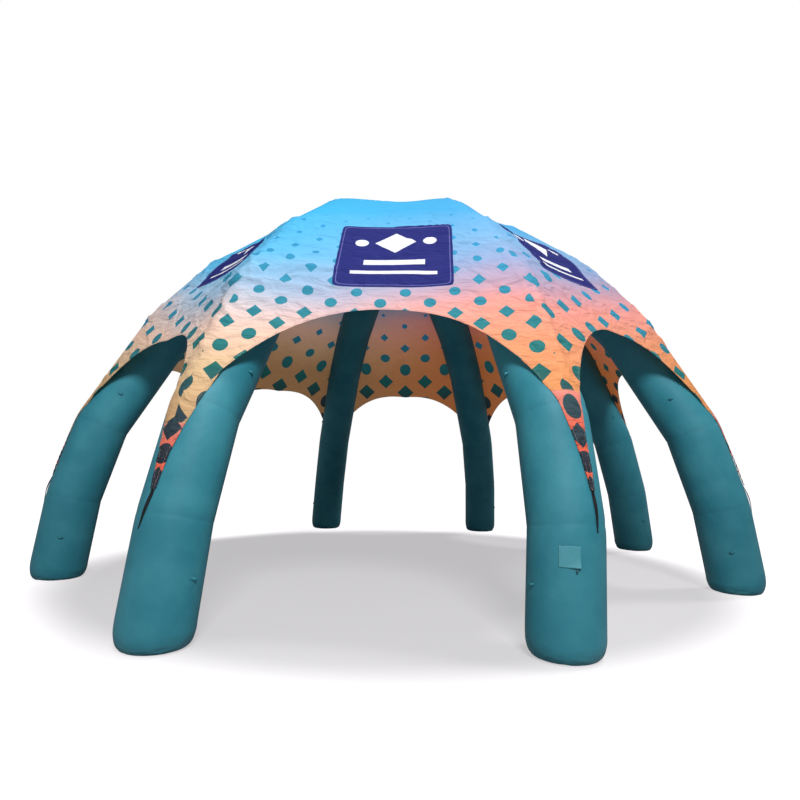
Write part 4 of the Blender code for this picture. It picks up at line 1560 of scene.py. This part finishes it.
def make_flap():
    """The patch and its area."""
    u, v = np.meshgrid(np.linspace(0, 1, FLAP_STEPS), np.linspace(0, 1, FLAP_STEPS))
    turn = np.radians(FLAP_TURNS[0] + (FLAP_TURNS[1] - FLAP_TURNS[0]) * u)
    station = FLAP_STATIONS[0] + (FLAP_STATIONS[1] - FLAP_STATIONS[0]) * v
    corner = np.clip((u + v - 1.35) / 0.65, 0, 1)
    ripple = FLAP_RIPPLE * np.sin(5 * u + 2) * np.sin(4 * v + 1)
    lift = FLAP_SEAT + FLAP_LIFT * corner**1.6 + ripple
    faces = quads(numbered(FLAP_STEPS, FLAP_STEPS)).tolist()
    mesh = new_mesh("flap_patch", on_tube(VALVE_LEG, station, turn, lift), faces, FLAP_FABRIC)
    give_map(mesh, turn * TUBE_RADIUS, station)
    area = sum(face.area for face in mesh.polygons)
    return thicken(mesh, FLAP_THICKNESS, -1.0), area


def make_stem():
    shape = bmesh.new()
    outline = [shape.verts.new((r, 0, h)) for r, h in STEM_OUTLINE]
    outline.append(shape.verts.new((0, 0, STEM_OUTLINE[-1][1])))
    edges = [shape.edges.new(pair) for pair in zip(outline, outline[1:])]
    bmesh.ops.spin(shape, geom=outline + edges, axis=(0, 0, 1), angle=2 * math.pi, steps=STEM_STEPS)
    bmesh.ops.remove_doubles(shape, verts=shape.verts, dist=1e-6)
    rim = [edge for edge in shape.edges if edge.is_boundary]
    bmesh.ops.contextual_create(shape, geom=rim)
    bmesh.ops.recalc_face_normals(shape, faces=shape.faces)
    place, out, _ = seat_on(VALVE_LEG, STEM_TURN, STEM_STATION, STEM_GAP)
    seat = Vector(out).to_track_quat("Z", "Y").to_matrix().to_4x4()
    seat.translation = Vector(place)
    shape.transform(seat)
    mesh = bpy.data.meshes.new("turned_valve")
    shape.to_mesh(mesh)
    shape.free()
    mesh.shade_smooth()
    mesh.set_sharp_from_angle(angle=math.radians(40))
    mesh.materials.append(PLASTIC)
    return link("turned_valve", mesh)


flap, flap_area = make_flap()
stem = make_stem()
print("flap", triangles(flap), "area", round(flap_area, 4), "stem", triangles(stem))

# %% [markdown]
# ## Hand the pieces to the frame
# Every piece rides on the tent's one body and takes a finish, and each that stands for solids
# says which. The gores and the patch say what they were cut from, and the legs and the hub how
# full they are. The two boxes go to a small file, so that the dressed tent can be compared with its solids.

GORE_CUT = (3.5, 6.4)


def declare(piece, slot, *replaced):
    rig.ride(piece, "root")
    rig.slot(piece, slot)
    if replaced:
        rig.replaces(piece, *replaced)


for leg, piece in enumerate(air_legs):
    declare(piece, "teal_coated_fabric", f"leg_{leg + 1}")
    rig.padded(piece, fill=1.0)
declare(hub, "teal_coated_fabric", "hub")
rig.padded(hub, fill=1.0)
for leg, piece in enumerate(straps):
    declare(piece, "black_webbing", f"strap_{leg + 1}")
for piece in (*hems.values(), stitches):
    declare(piece, "printed_canopy_cloth")
for panel, gore in enumerate(gores):
    declare(gore, "printed_canopy_cloth", "canopy")
    carried = (air_legs[panel], air_legs[(panel + 1) % LEG_COUNT], hub)
    trims = [hems[panel, 1], hems[panel, -1]]
    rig.sheet(
        gore,
        flat=GORE_CUT,
        held="stretched",
        rests_on=carried,
        area=round(areas[panel], 2),
        with_pieces=trims,
    )
declare(
    loops,
    "teal_coated_fabric",
    *(f"loop_{n}_{end}" for n in range(1, 9) for end in ("upper", "lower")),
)
declare(flap, "teal_coated_fabric", "valve_flap")
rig.sheet(flap, flat=(0.175, 0.172), held="laid", rests_on=(air_legs[VALVE_LEG],))
declare(stem, "dark_valve_plastic", "valve_stem")

dressed_box = [list(corner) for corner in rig.bounds()]
with open("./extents.json", "w") as out:
    json.dump({"cad": cad_box, "dressed": dressed_box}, out)
pieces = (*air_legs, hub, *gores, *hems.values(), stitches, loops, *straps, flap, stem)
print("dressed box", dressed_box, "triangles", sum(triangles(piece) for piece in pieces))
